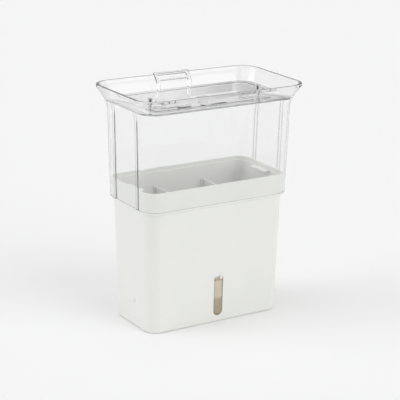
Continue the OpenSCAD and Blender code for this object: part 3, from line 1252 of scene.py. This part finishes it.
@dataclass
class LevelWindow:
    """The level window in the container's front wall, its clip and its seal."""

    width: float = 12 * MM
    x: float = 2.5 * MM
    low: float = 8 * MM
    length: float = 49 * MM
    top_round: float = 2.2 * MM
    gap: float = 0.15 * MM
    sink: float = 0.35 * MM
    flange: float = 2.6 * MM
    flange_thick: float = 1.6 * MM
    seal_thick: float = 0.8 * MM
    seal_gap: float = 0.1 * MM
    edge: float = 0.9 * MM
    slot_round: float = 0.5 * MM
    clip_width: float = 3.6 * MM
    clip_x: float = 3 * MM
    clip_height: float = 3.4 * MM
    clip_thick: float = 0.8 * MM
    clip_gap: float = 0.05 * MM
    clip_corner: float = 1.2 * MM
    clip_round: float = 0.35 * MM
    corner_steps: int = 10
    finish: Finish = SmokedPlastic("smoked_plastic")
    clip_finish: Finish = Mottled("clip_plastic", (0.80, 0.80, 0.77), (0.74, 0.74, 0.71))
    seal_finish: Finish = Mottled("seal_rubber", (0.74, 0.74, 0.71), (0.64, 0.64, 0.61))

    def outline(self, z: float, inset: float = 0.0) -> Section:
        """The window's outline on the wall, at a distance out of it.

        Args:
            z: Distance out of the wall's outer face.
            inset: How far it lies inside the slot's edge.

        Returns:
            The section.
        """
        middle = (self.x, self.low + self.length / 2)
        foot = self.width / 2 - HAIR
        return Section(z, self.width, self.length, self.top_round, foot, middle).grown(-inset)

    def slot(self, container: Container) -> BMesh:
        """The cutter of the window's slot, which rounds the slot's outer edge.

        Args:
            container: The container that it cuts.

        Returns:
            Its mesh.
        """
        soft = self.slot_round
        path = [
            self.outline(-2 * container.wall),
            *rounding(self.outline, -soft, -soft, soft, 180, 90, 4),
            self.outline(PAST, -soft),
        ]
        return container.on_front(Loft.solid(path, self.corner_steps))

    def pane(self, container: Container) -> BMesh:
        """The pane with its inner flange and soft outer edge.

        Args:
            container: The container that it sits in.

        Returns:
            Its mesh.
        """
        back = -container.wall - self.seal_thick - self.seal_gap
        front = -self.sink - self.edge
        path = [
            self.outline(back - self.flange_thick, -self.flange),
            self.outline(back, -self.flange),
            self.outline(back, self.gap),
            *rounding(self.outline, front, self.gap + self.edge, self.edge, 0, 90, 5),
        ]
        return container.on_front(Loft.solid(path, self.corner_steps))

    def clip(self, container: Container) -> BMesh:
        """The clip that hooks over the wall above the window.

        Args:
            container: The container that it hooks over.

        Returns:
            Its mesh.
        """
        middle = (self.x + self.clip_x, self.low + self.length)
        size = (self.clip_width, 2 * self.clip_height, self.clip_corner)
        flat = Section(self.clip_gap, *size, middle=middle)
        soft = self.clip_round
        path = [flat, *rounding(flat.level, self.clip_thick - soft, soft, soft, 0, 90, 3)]
        return container.on_front(Loft.solid(path, 6))

    def build(self, container: Container, nodes: dict[str, bpy.types.Object]) -> None:
        """Builds the pane and its clip, and dresses the seal behind them.

        Args:
            container: The container that they sit in.
            nodes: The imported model's nodes by name.
        """
        pane = as_object("level_window_pane", self.pane(container))
        place(pane, Body.CONTAINER, Slot.WINDOW, self.finish, "level_window")
        clip = as_object("level_window_clip", self.clip(container))
        place(clip, Body.CONTAINER, Slot.WINDOW, self.clip_finish)
        seal = nodes["window_seal"]
        seal.data.materials.clear()
        seal.data.materials.append(self.seal_finish.material())
        log.info("window_seal: dressed as packed")


@dataclass
class Tray:
    """The white tray with a slotted floor, grooves for the dividers and two lifting lips."""

    gap: float = 0.6 * MM
    wall: float = 1.6 * MM
    floor: float = 2.2 * MM
    foot_round: float = 1.2 * MM
    rim_round: float = 0.6 * MM
    fillet: float = 1.5 * MM
    floor_bar: float = 6 * MM
    opening_round: float = 4 * MM
    opening_soft: float = 0.4 * MM
    lip_length: float = 30 * MM
    lip_out: float = 8 * MM
    lip_drop: float = 0.02 * MM
    lip_soft: float = 0.4 * MM
    divider_x: float = 33 * MM
    divider_thick: float = 1.6 * MM
    divider_gap: float = 0.3 * MM
    divider_height: float = 30 * MM
    divider_lift: float = 0.05 * MM
    divider_soft: float = 0.35 * MM
    rib: float = 1.4 * MM
    rib_out: float = 3 * MM
    rib_bend: float = 5.3 * MM
    rib_soft: float = 0.25 * MM
    scoop_width: float = 34 * MM
    scoop_height: float = 7 * MM
    corner_steps: int = 14
    finish: Finish = SatinPlastic(
        "tray_plastic", (0.84, 0.842, 0.825), (0.81, 0.815, 0.795), 0.3, flow=35 * MM
    )

    def __post_init__(self) -> None:
        """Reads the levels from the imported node."""
        low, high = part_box("tray")
        self.low_z = low.z
        self.top = high.z
        self.floor_z = self.low_z + self.floor

    def sections(self, container: Container) -> list[Section]:
        """Sections from the underside, over the rim, to the inner floor.

        Args:
            container: The container, whose walls the shape follows.

        Returns:
            The sections, in order.
        """
        out = container.wall + self.gap
        rim = container.collar_wall + self.gap
        step, step_top = container.bend_low, container.bend_top + self.gap
        foot, turn, fillet = self.foot_round, self.rim_round, self.fillet
        return [
            *rounding(container.body, self.low_z + foot, out + foot, foot, -90, 0, 4),
            container.body(step, out),
            container.collar(step_top, rim),
            *rounding(container.collar, self.top - turn, rim + turn, turn, 0, 90, 3),
            *rounding(
                container.collar, self.top - turn, rim + self.wall - turn, turn, 90, 180, 3
            ),
            container.collar(step_top + self.wall / 2, rim + self.wall),
            container.body(step + self.wall / 2, out + self.wall),
            *rounding(
                container.body, self.floor_z + fillet, out + self.wall + fillet, fillet, 0, -90, 4
            ),
        ]

    def inner_size(self, container: Container) -> tuple[float, float]:
        """Width and depth inside the tray at its foot."""
        inside = container.body(self.low_z, container.wall + self.gap + self.wall)
        return inside.width, inside.depth

    def openings(self, container: Container) -> BMesh:
        """Cutters of the floor's openings, two for each compartment.

        Args:
            container: The container, whose walls the shape follows.

        Returns:
            Their mesh.
        """
        width, depth = self.inner_size(container)
        groove = self.divider_thick / 2 + self.divider_gap + self.rib
        middle = 2 * (self.divider_x - groove - self.floor_bar / 2)
        side = width / 2 - self.divider_x - groove - 1.5 * self.floor_bar
        side_x = self.divider_x + groove + self.floor_bar / 2 + side / 2
        open_depth = depth / 2 - 1.5 * self.floor_bar
        soft = self.opening_soft
        made = []
        for x, wide in ((-side_x, side), (0.0, middle), (side_x, side)):
            for y in (-1, 1):
                centre = (x, y * (open_depth + self.floor_bar) / 2)
                size = (wide, open_depth, self.opening_round)
                hole = Section(self.low_z - PAST, *size, middle=centre)
                path = [
                    hole,
                    hole.grown(0, z=self.floor_z - soft),
                    hole.grown(0.3 * soft, z=self.floor_z - 0.3 * soft),
                    hole.grown(soft, z=self.floor_z + HAIR),
                    hole.grown(soft, z=self.floor_z + PAST),
                ]
                made.append(Loft.solid(path, 8))
        return merged(made)

    def ribs(self, container: Container) -> BMesh:
        """The ribs in pairs beside each divider's ends.

        Args:
            container: The container, whose walls the shape follows.

        Returns:
            Their mesh.
        """
        _, depth = self.inner_size(container)
        near = depth / 2 - self.rib_out
        low = self.floor_z - self.floor / 4
        high = self.floor_z + self.divider_height - self.floor / 4
        root = self.gap + self.wall / 2
        knee = container.bend_low
        wall_low = container.body(low, container.wall + root).depth / 2
        wall_knee = container.body(knee, container.wall + root).depth / 2
        wall_high = container.collar(high, container.collar_wall + root).depth / 2
        groove = self.divider_thick / 2 + self.divider_gap
        outline = (
            (near, low),
            (wall_low, low),
            (wall_knee, knee),
            (wall_high, knee + self.rib_bend),
            (wall_high, high),
            (near, high),
        )
        made = []
        size = (self.rib, self.rib_soft)
        for x in (-self.divider_x, self.divider_x):
            for start in (x - groove - self.rib, x + groove):
                made.append(Bar(outline, start, *size).mesh())
                made.append(Bar(outline, -start - self.rib, *size, 180).mesh())
        return merged(made)

    def lips(self, container: Container) -> BMesh:
        """The lip at each end that fingers lift the tray by.

        Args:
            container: The container, whose walls the shape follows.

        Returns:
            Their mesh.
        """
        reach = container.collar(self.top, container.collar_wall + self.gap).width / 2
        near = reach - self.wall - self.lip_out
        far = reach - self.wall / 2
        low, high = self.top - self.wall, self.top - self.lip_drop
        outline = ((near, low), (far, low), (far, high), (near, high))
        size = (self.lip_length, self.lip_soft)
        return merged(
            Bar(outline, -self.lip_length / 2, *size, turn, edge_steps=3).mesh()
            for turn in (-90, 90)
        )

    def divider(self, container: Container, x: float) -> BMesh:
        """A divider with a finger scoop in its top edge.

        Args:
            container: The container that the tray stands in.
            x: The divider's place.

        Returns:
            Its mesh.
        """
        _, depth = self.inner_size(container)
        half = depth / 2 - self.divider_gap
        low = self.floor_z + self.divider_lift
        high = low + self.divider_height
        radius = (self.scoop_width**2 / 4 + self.scoop_height**2) / (2 * self.scoop_height)
        reach = math.degrees(math.asin(self.scoop_width / 2 / radius))
        scoop = arc((0, high - self.scoop_height + radius), radius, -90 + reach, -90 - reach, 20)
        outline = ((-half, low), (half, low), (half, high), *scoop, (-half, high))
        start = x - self.divider_thick / 2
        return Bar(outline, start, self.divider_thick, self.divider_soft, edge_steps=3).mesh()

    def build(self, container: Container) -> None:
        """Builds the tray and its dividers.

        Args:
            container: The container that the tray stands in.
        """
        shell = as_object("tray_shell", Loft.solid(self.sections(container), self.corner_steps))
        combine(shell, self.openings(container), Join.CUT)
        combine(shell, self.ribs(container), Join.ADD)
        combine(shell, self.lips(container), Join.ADD)
        place(shell, Body.TRAY, Slot.TRAY, self.finish, "tray")
        for body, side in ((Body.DIVIDER_LEFT, -1), (Body.DIVIDER_RIGHT, 1)):
            plate = as_object(f"{body.value}_plate", self.divider(container, side * self.divider_x))
            place(plate, body, Slot.TRAY, self.finish, body.value)


@dataclass
class Hood:
    """The tall clear hood: straight walls, a flared mouth with a thick lip, and end rails."""

    gap: float = 0.5 * MM
    wall: float = 1.8 * MM
    straight: float = 99.8 * MM
    draft: float = 2.3 * MM
    flare_height: float = 29 * MM
    flare_out: float = 11.199 * MM
    mouth_corner: float = 23.5 * MM
    lip_height: float = 3 * MM
    lip: float = 3.5 * MM
    lip_round: float = 0.6 * MM
    foot_lift: float = 0.04 * MM
    foot_round: float = 0.5 * MM
    rail_y: float = 26 * MM
    rail_width: float = 5.6 * MM
    rail_out: float = 0.6 * MM
    rail_rise: float = 7 * MM
    rail_round: float = 0.5 * MM
    flare_steps: int = 26
    corner_steps: int = 22
    # Painted shade: a dark line along the hood's foot, and dark lines beside its rails
    finish: Finish = ClearPlastic("hood_plastic", foot=148.2 * MM, rail_y=26 * MM)

    def __post_init__(self) -> None:
        """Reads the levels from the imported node."""
        low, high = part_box("hood")
        self.low_z = low.z
        self.flare_z = self.low_z + self.straight
        self.rim_z = high.z
        self.mouth_z = self.rim_z - self.lip_height

    def rise(self, z: float) -> float:
        """Share of the flare's height that a level has reached."""
        return min(1.0, max(0.0, (z - self.flare_z) / self.flare_height))

    def thickness(self, z: float) -> float:
        """Thickness of the wall at a level."""
        return self.wall + (self.lip - self.wall) * self.rise(z) ** 2

    def outside(self, container: Container, z: float, inset: float = 0.0) -> Section:
        """Section of the hood's outside.

        Args:
            container: The container, whose collar the hood stands round.
            z: The section's level.
            inset: How far it lies inside the outer face.

        Returns:
            The section.
        """
        foot = container.collar(z, -self.gap - self.wall)
        share = self.rise(z)
        lean = self.draft * min(1.0, (z - self.low_z) / self.straight)
        out = lean + self.flare_out * (1 - math.cos(math.pi / 2 * share))
        radius = foot.radius + (self.mouth_corner - foot.radius) * share
        whole = Section(z, foot.width + 2 * out, foot.depth + 2 * out, radius)
        return whole.grown(-inset)

    def sections(self, container: Container) -> list[Section]:
        """Sections up the outside, over the lip and down the inside.

        Args:
            container: The container, whose collar the hood stands round.

        Returns:
            The sections, in order.
        """
        outside = partial(self.outside, container)
        low, soft = self.low_z + self.foot_lift, self.foot_round
        bend, turn = self.rim_z - self.lip_round, self.lip_round
        steps = range(self.flare_steps + 1)
        levels = [self.flare_z + self.flare_height * i / self.flare_steps for i in steps]
        return [
            outside(low, soft),
            *rounding(outside, low + soft, soft, soft, -60, 0, 2),
            *[outside(z) for z in levels],
            *rounding(outside, bend, turn, turn, 0, 90, 5),
            *rounding(outside, bend, self.lip - turn, turn, 90, 180, 5),
            *[outside(z, self.thickness(z)) for z in reversed(levels)],
            *rounding(outside, low + soft, self.wall - soft, soft, 180, 270, 3),
        ]

    def rails(self, container: Container) -> BMesh:
        """The upright rails on the end walls.

        Args:
            container: The container, whose collar the hood stands round.

        Returns:
            Their mesh.
        """
        low_x = self.outside(container, self.low_z).width / 2
        high_x = low_x + self.draft
        root = self.wall / 2
        foot = self.low_z + self.foot_lift
        rail_top = self.flare_z + self.rail_rise
        outline = (
            (low_x - root, foot),
            (low_x + self.rail_out, foot),
            (high_x + self.rail_out, self.flare_z),
            (high_x + self.rail_out, rail_top),
            (high_x, rail_top + self.rail_out),
            (high_x - root, self.flare_z),
        )
        size = (self.rail_width, self.rail_round)
        return merged(
            Bar(outline, side * self.rail_y - size[0] / 2, *size, turn, edge_steps=4).mesh()
            for side in (-1, 1)
            for turn in (-90, 90)
        )

    def build(self, container: Container) -> None:
        """Builds the hood.

        Args:
            container: The container, whose collar the hood stands round.
        """
        shell = as_object("hood_shell", Loft.band(self.sections(container), self.corner_steps))
        combine(shell, self.rails(container), Join.ADD)
        place(shell, Body.HOOD, Slot.HOOD, self.finish, "hood")


@dataclass
class Lid:
    """The clear sunken lid, with slots and hooks for the vent slider and a lift tab."""

    edge_gap: float = 0.25 * MM
    flange: float = 1.4 * MM
    flange_width: float = 7.4 * MM
    flange_round: float = 0.5 * MM
    panel_depth: float = 0.8 * MM
    panel: float = 1.6 * MM
    panel_corner: float = 11 * MM
    soft: float = 0.3 * MM
    vent_y: float = -20 * MM
    slot_width: float = 3.4 * MM
    slot_length: float = 12 * MM
    slot_count: int = 3
    slot_x: float = 46 * MM
    travel: float = 4 * MM
    slider_gap: float = 0.3 * MM
    slider_width: float = 28 * MM
    slider_thick: float = 1.2 * MM
    hook_length: float = 12 * MM
    hook_pitch: float = 56 * MM
    hook: float = 1 * MM
    hook_soft: float = 0.25 * MM
    tab_width: float = 47 * MM
    tab_x: float = -3.5 * MM
    tab_post: float = 4.6 * MM
    tab_thick: float = 2.6 * MM
    tab_up: float = 8.1 * MM
    tab_low: float = 10.4 * MM
    tab_rise: float = 11.4 * MM
    tab_lean: float = 9 * MM
    tab_bar: float = 3.6 * MM
    tab_low_bar: float = 2.8 * MM
    tab_soft: float = 0.45 * MM
    corner_steps: int = 16
    finish: Finish = LidPlastic("lid_plastic")

    def __post_init__(self) -> None:
        """Works out the levels."""
        _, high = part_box("lid")
        self.top = high.z - self.tab_up - self.tab_rise
        self.low_z = self.top - self.flange
        self.panel_top = self.top - self.panel_depth
        self.slider_z = self.panel_top + self.slider_gap
        self.slider_top = self.slider_z + self.slider_thick

    def flange_section(self, hood: Hood, container: Container) -> Section:
        """The lid's outer edge."""
        z = self.low_z
        return hood.outside(container, z, hood.thickness(z) + self.edge_gap)

    def sections(self, whole: Section) -> list[Section]:
        """Sections from the sunken panel's face, over the flange, to the panel's underside.

        Args:
            whole: The lid's outer edge.

        Returns:
            The sections, in order.
        """
        outer = replace(whole.grown(-self.flange_width), radius=self.panel_corner)
        inner = outer.grown(-self.panel)
        soft, turn = self.soft, self.flange_round
        bottom = self.panel_top - self.panel
        return [
            *rounding(inner.level, self.panel_top + soft, soft, soft, -90, 0, 4),
            *rounding(inner.level, self.top - soft, -soft, soft, 180, 90, 3)[1:],
            *rounding(whole.level, self.top - turn, turn, turn, 90, 0, 4)[:-1],
            *rounding(whole.level, self.low_z + turn, turn, turn, 0, -90, 4),
            outer.level(self.low_z, -soft),
            outer.level(self.low_z - 0.3 * soft, -0.3 * soft),
            *rounding(outer.level, bottom + turn, turn, turn, 0, -90, 5),
        ]

    def vent_slots(self, shift: float, low: float, high: float) -> BMesh:
        """Cutters of the vent slots.

        Args:
            shift: How far they are moved along X.
            low: Underside of the plate that they cut.
            high: Its top.

        Returns:
            Their mesh.
        """
        made = []
        for side in (-1, 1):
            for i in range(self.slot_count):
                x = side * (self.slot_x + 2 * self.travel * i) + shift
                size = (self.slot_width, self.slot_length, self.slot_width / 2 - HAIR)
                hole = Section(low - PAST, *size, middle=(x, self.vent_y))
                made.append(Loft.solid([hole, hole.grown(0, z=high + PAST)], 8))
        return merged(made)

    def hooks(self) -> BMesh:
        """The hooks along both sides of the slider.

        Returns:
            Their mesh.
        """
        gap = self.slider_width / 2 + self.slider_gap
        top = self.slider_top + self.slider_gap
        root = self.panel_top - self.panel / 2
        outline = (
            (gap, root),
            (gap + self.hook, root),
            (gap + self.hook, top + self.hook),
            (gap - self.hook, top + self.hook),
            (gap - self.hook, top),
            (gap, top),
        )
        size = (self.hook_length, self.hook_soft)
        places = [(x * self.hook_pitch, self.vent_y, 0.0) for x in (-1, 0, 1)]
        return merged(
            Bar(outline, -self.hook_length / 2, *size, turn, spot).mesh()
            for spot in places
            for turn in (0, 180)
        )

    def tab_side(self, y: float, low: float, high: float) -> Outline:
        """Side outline of the lift tab between two levels, upright first and then leaning back.

        Args:
            y: Y of its upright front.
            low: The lower level.
            high: The upper level.

        Returns:
            The outline.
        """
        bend = self.top + self.tab_up

        def front(z: float) -> float:
            """Y of the tab's front at a level."""
            return y + self.tab_lean * max(0.0, (z - bend) / self.tab_rise)

        levels = [low] + ([bend] if low < bend < high else []) + [high]
        near = [(front(z), z) for z in levels]
        far = [(front(z) + self.tab_thick, z) for z in reversed(levels)]
        return (*near, *far)

    def lift_tab(self, whole: Section) -> list[BMesh]:
        """The posts and bars of the lift tab.

        Args:
            whole: The lid's outer edge.

        Returns:
            A mesh for each.
        """
        y = whole.depth / 2 - self.flange_width / 2 - self.tab_thick / 2
        foot = self.top - self.flange / 2
        head = self.top + self.tab_up + self.tab_rise
        low = self.top + self.tab_low
        left = self.tab_x - self.tab_width / 2
        post = self.tab_side(y, foot, head)
        top_bar = self.tab_side(y, head - self.tab_bar, head)
        low_bar = self.tab_side(y, low, low + self.tab_low_bar)
        inside = left + self.tab_post / 2
        length = self.tab_width - self.tab_post
        parts = (
            (post, left, self.tab_post),
            (post, left + length, self.tab_post),
            (top_bar, inside, length),
            (low_bar, inside, length),
        )
        return [Bar(*part, self.tab_soft, edge_steps=3).mesh() for part in parts]

    def build(self, hood: Hood, container: Container) -> None:
        """Builds the lid.

        Args:
            hood: The hood, in whose mouth the lid lies.
            container: The container that carries the hood.
        """
        whole = self.flange_section(hood, container)
        lid = as_object("lid_panel", Loft.solid(self.sections(whole), self.corner_steps))
        slots = self.vent_slots(0.0, self.panel_top - self.panel, self.panel_top)
        combine(lid, slots, Join.CUT)
        combine(lid, self.hooks(), Join.ADD)
        for part in self.lift_tab(whole):
            combine(lid, part, Join.ADD)
        place(lid, Body.LID, Slot.LID, self.finish, "lid")


@dataclass
class VentSlider:
    """The clear vent slider with its index marks, finger pins and their caps."""

    length: float = 154 * MM
    corner: float = 2.9 * MM
    soft: float = 0.35 * MM
    pin_x: float = 72.4 * MM
    pin_edge: float = 6.5 * MM
    pin: float = 1.25 * MM
    pin_height: float = 7 * MM
    pin_gap: float = 0.05 * MM
    pin_round: float = 0.4 * MM
    cap: float = 2.9 * MM
    cap_lift: float = 0.02 * MM
    mark_x: float = -16 * MM
    mark_edge: float = 4 * MM
    mark: float = 6 * MM
    mark_depth: float = 7.6 * MM
    mark_up: float = 0.45 * MM
    dash_x: float = 15 * MM
    dash: float = 17 * MM
    dash_depth: float = 5 * MM
    dash_corner: float = 0.5 * MM
    dash_soft: float = 0.15 * MM
    mark_soft: float = 0.12 * MM
    round_steps: int = 32
    finish: Finish = LidPlastic("slider_plastic")
    cap_finish: Finish = ClearPlastic("cap_plastic", haze=0.0, density=55.0)
    pin_finish: Finish = DarkSteel("dark_steel")
    mark_finish: Finish = Mottled(
        "mark_ink",
        (0.07, 0.07, 0.073),
        (0.04, 0.04, 0.043),
        spot=0.8 * MM,
        detail=2.0,
        dark_to=0.65,
        roughness=0.45,
        depth=0.01 * MM,
    )

    def pin_feet(self, lid: Lid) -> list[Vector]:
        """Where the pins' axes stand."""
        y = lid.vent_y + lid.slider_width / 2 - self.pin_edge
        return [Vector((x, y, 0)) for x in (-self.pin_x, self.pin_x)]

    def plate(self, lid: Lid) -> BMesh:
        """The sliding plate.

        Args:
            lid: The lid that the slider lies on.

        Returns:
            Its mesh.
        """
        size = (self.length, lid.slider_width, self.corner)
        flat = Section(lid.slider_z, *size, middle=(0.0, lid.vent_y))
        soft = self.soft
        path = rounding(flat.level, lid.slider_z + soft, soft, soft, -90, 0, 3)
        path += rounding(flat.level, lid.slider_top - soft, soft, soft, 0, 90, 3)
        return Loft.solid(path, 8)

    def pin_holes(self, lid: Lid) -> BMesh:
        """Cutters of the holes that the pins stand in.

        Args:
            lid: The lid that the slider lies on.

        Returns:
            Their mesh.
        """
        radius = self.pin + self.pin_gap
        low, high = lid.slider_z - PAST, lid.slider_top + PAST
        profile = [(0, low), (radius, low), (radius, high), (0, high)]
        return merged(lathe(profile, foot, self.round_steps) for foot in self.pin_feet(lid))

    def dashes(self, y: float, low: float) -> list[BMesh]:
        """The dash on either side of the pointer.

        Args:
            y: Their middle in Y.
            low: Level of their undersides.

        Returns:
            A mesh for each.
        """
        made = []
        size = (self.dash, self.dash_depth, self.dash_corner)
        for side in (-1, 1):
            x = self.mark_x + side * (self.dash_x + self.dash / 2)
            flat = Section(low, *size, middle=(x, y))
            waist = flat.level(low + 0.6 * self.mark_up, 0)
            head = flat.level(low + self.mark_up, self.dash_soft)
            made.append(Loft.solid([flat, waist, head], 4))
        return made

    def pointer(self, middle: float, low: float) -> BMesh:
        """The three-sided pointer.

        Args:
            middle: Its middle in Y.
            low: Level of its underside.

        Returns:
            Its mesh.
        """
        mesh = bmesh.new()
        side, reach = self.mark / 2, self.mark_depth / 2
        foot = [
            mesh.verts.new((self.mark_x + x, middle + y, low))
            for x, y in ((-side, -reach), (side, -reach), (0, reach))
        ]
        face = bmesh.ops.contextual_create(mesh, geom=foot)["faces"]
        extruded = bmesh.ops.extrude_face_region(mesh, geom=face)["geom"]
        raised = [g for g in extruded if isinstance(g, BMVert)]
        bmesh.ops.translate(mesh, vec=(0, 0, self.mark_up), verts=raised)
        bmesh.ops.recalc_face_normals(mesh, faces=mesh.faces)
        bevel(mesh, mesh.edges, self.mark_soft, 2)
        return tidy(mesh)

    def marks(self, lid: Lid) -> BMesh:
        """The pointer and its dashes.

        Args:
            lid: The lid that the slider lies on.

        Returns:
            Their mesh.
        """
        low = lid.slider_top + HAIR
        y = lid.vent_y - lid.slider_width / 2 + self.mark_edge
        return merged([*self.dashes(y, low), self.pointer(y, low)])

    def pins(self, lid: Lid) -> BMesh:
        """The finger pins.

        Args:
            lid: The lid that the slider lies on.

        Returns:
            Their mesh.
        """
        low = lid.slider_z
        high = lid.slider_top + self.pin_height
        side, soft = self.pin, self.pin_round
        profile = [(0.0, low), (side - soft, low), (side, low + soft)]
        profile += arc((side - soft, high - soft), soft, 0, 90, 4) + [(0.0, high)]
        return merged(lathe(profile, foot, self.round_steps) for foot in self.pin_feet(lid))

    def caps(self, lid: Lid) -> BMesh:
        """The clear sleeve with a domed top over each pin.

        Args:
            lid: The lid that the slider lies on.

        Returns:
            Their mesh.
        """
        bore = self.pin + self.pin_gap
        low = lid.slider_top + self.cap_lift
        bore_top = low + self.pin_height + 2 * self.pin_gap
        dome = lid.slider_top + self.pin_height - self.cap / 2
        profile = [(0.0, bore_top), (bore, bore_top), (bore, low), (self.cap, low)]
        profile += arc((0.0, dome), self.cap, 0, 90, 10)
        return merged(lathe(profile, foot, self.round_steps) for foot in self.pin_feet(lid))

    def build(self, lid: Lid) -> None:
        """Builds the slider and what it carries.

        Args:
            lid: The lid that the slider lies on.
        """
        plate = as_object("vent_slider_plate", self.plate(lid))
        combine(plate, lid.vent_slots(lid.travel, lid.slider_z, lid.slider_top), Join.CUT)
        combine(plate, self.pin_holes(lid), Join.CUT)
        place(plate, Body.VENT_SLIDER, Slot.LID, self.finish, "vent_slider")
        marks = as_object("index_marks", self.marks(lid))
        place(marks, Body.VENT_SLIDER, Slot.PIN, self.mark_finish)
        pins = as_object("finger_pin_pair", self.pins(lid))
        place(pins, Body.VENT_SLIDER, Slot.PIN, self.pin_finish, "finger_pins")
        caps = as_object("pin_cap_pair", self.caps(lid))
        place(caps, Body.VENT_SLIDER, Slot.HOOD, self.cap_finish, "pin_caps")


# Studio and camera ---------------------------------------------------------------


@dataclass
class Studio:
    """The plain studio: a pale floor, an even sky and three soft lamps."""

    floor_size: float = 14.0
    floor_steps: int = 96
    floor_drop: float = 0.02 * MM
    sky_light: float = 0.55
    pale: float = 0.92
    dim: float = 0.74
    dim_from: float = 0.205
    dim_to: float = 0.24
    card: float = 0.0
    card_side: Point = (0.849, -0.528, 0.0)
    card_from: float = -0.015
    card_to: float = 0.045
    left_colour: Colour = (1.0, 0.993, 1.03)
    # Name, direction that the light comes from, strength and how wide it looks in degrees
    lamps: tuple[tuple[str, Point, float, float], ...] = (
        ("left_lamp", (-0.86, 0.34, 0.38), 0.95, 50.0),
        ("front_lamp", (0.38, -0.83, 0.40), 0.98, 50.0),
        ("top_lamp", (0.0, 0.05, 1.0), 0.62, 70.0),
    )
    floor_finish: Finish = PaleFloor("pale_floor")

    def build(self) -> None:
        """Builds the floor, the sky and the lamps."""
        mesh = bmesh.new()
        bmesh.ops.create_circle(
            mesh, cap_ends=True, radius=self.floor_size / 2, segments=self.floor_steps
        )
        bmesh.ops.translate(mesh, vec=(0, 0, -self.floor_drop), verts=mesh.verts)
        floor = as_object("floor", mesh)
        floor.data.materials.append(self.floor_finish.material())
        self.sky()
        for name, source, strength, width in self.lamps:
            lamp = bpy.data.lights.new(name, "SUN")
            lamp.energy = strength
            lamp.angle = math.radians(width)
            lamp.color = self.left_colour if source[0] < 0 else WHITE[:3]
            holder = bpy.data.objects.new(name, lamp)
            holder.rotation_euler = Vector(source).to_track_quat("Z", "Y").to_euler()
            bpy.context.scene.collection.objects.link(holder)

    def sky(self) -> None:
        """An even sky for light, of which clear plastic shows a dimmer part above and at a card."""
        world = bpy.data.worlds.new("sky")
        world.use_nodes = True
        bpy.context.scene.world = world
        tree = Tree(world.node_tree)
        way = tree.wire(tree.add("ShaderNodeTexCoord"), "Generated")
        height = tree.add("ShaderNodeSeparateXYZ", None, {0: way})
        across = tree.add(
            "ShaderNodeVectorMath", {"operation": "DOT_PRODUCT"}, {0: way, 1: self.card_side}
        )
        climb = tree.wire(height, "Z").rise(self.dim_from, self.dim_to)
        card = tree.wire(across, "Value").rise(self.card_from, self.card_to)
        above = self.dim + card * (self.card - self.dim)
        seen = self.pale + climb * (above - self.pale)
        path = tree.add("ShaderNodeLightPath")
        straight = tree.wire(path, "Is Camera Ray") + tree.wire(path, "Is Glossy Ray")
        shows = tree.math("MINIMUM", straight + tree.wire(path, "Is Transmission Ray"), 1.0)
        strength = self.sky_light + shows * (seen - self.sky_light)
        light = tree.add("ShaderNodeBackground", None, {"Color": WHITE, "Strength": strength})
        tree.add("ShaderNodeOutputWorld", None, {"Surface": tree.wire(light)})


@dataclass(frozen=True)
class Camera:
    """The camera at the photograph's angle."""

    place: Point = (-0.8721, -1.4079, 0.6432)
    azimuth: float = -31.865
    elevation: float = 16.938
    roll: float = 0.869
    lens: float = 132.03
    sensor: float = 36.0
    near: float = 0.05
    far: float = 60.0

    def build(self) -> None:
        """Sets up the scene's camera."""
        data = bpy.data.cameras.new("camera")
        data.sensor_width = self.sensor
        data.lens = self.lens
        data.clip_start = self.near
        data.clip_end = self.far
        camera = bpy.data.objects.new("camera", data)
        turn = Matrix.Rotation(math.radians(self.azimuth), 4, "Z")
        tilt = Matrix.Rotation(math.radians(90 - self.elevation), 4, "X")
        roll = Matrix.Rotation(math.radians(self.roll), 4, "Z")
        camera.matrix_world = Matrix.Translation(self.place) @ turn @ tilt @ roll
        bpy.context.scene.collection.objects.link(camera)
        bpy.context.scene.camera = camera


def main() -> None:
    """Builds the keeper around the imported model, then the studio and the camera."""
    logging.basicConfig(level=logging.INFO, format="%(message)s")
    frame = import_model()
    bpy.context.scene.view_settings.view_transform = "Standard"
    Camera().build()
    Studio().build()
    container = Container()
    window = LevelWindow()
    container.build(window)
    window.build(container, frame["nodes"])
    Tray().build(container)
    hood = Hood()
    hood.build(container)
    lid = Lid()
    lid.build(hood, container)
    VentSlider().build(lid)


if __name__ == "__main__":
    main()
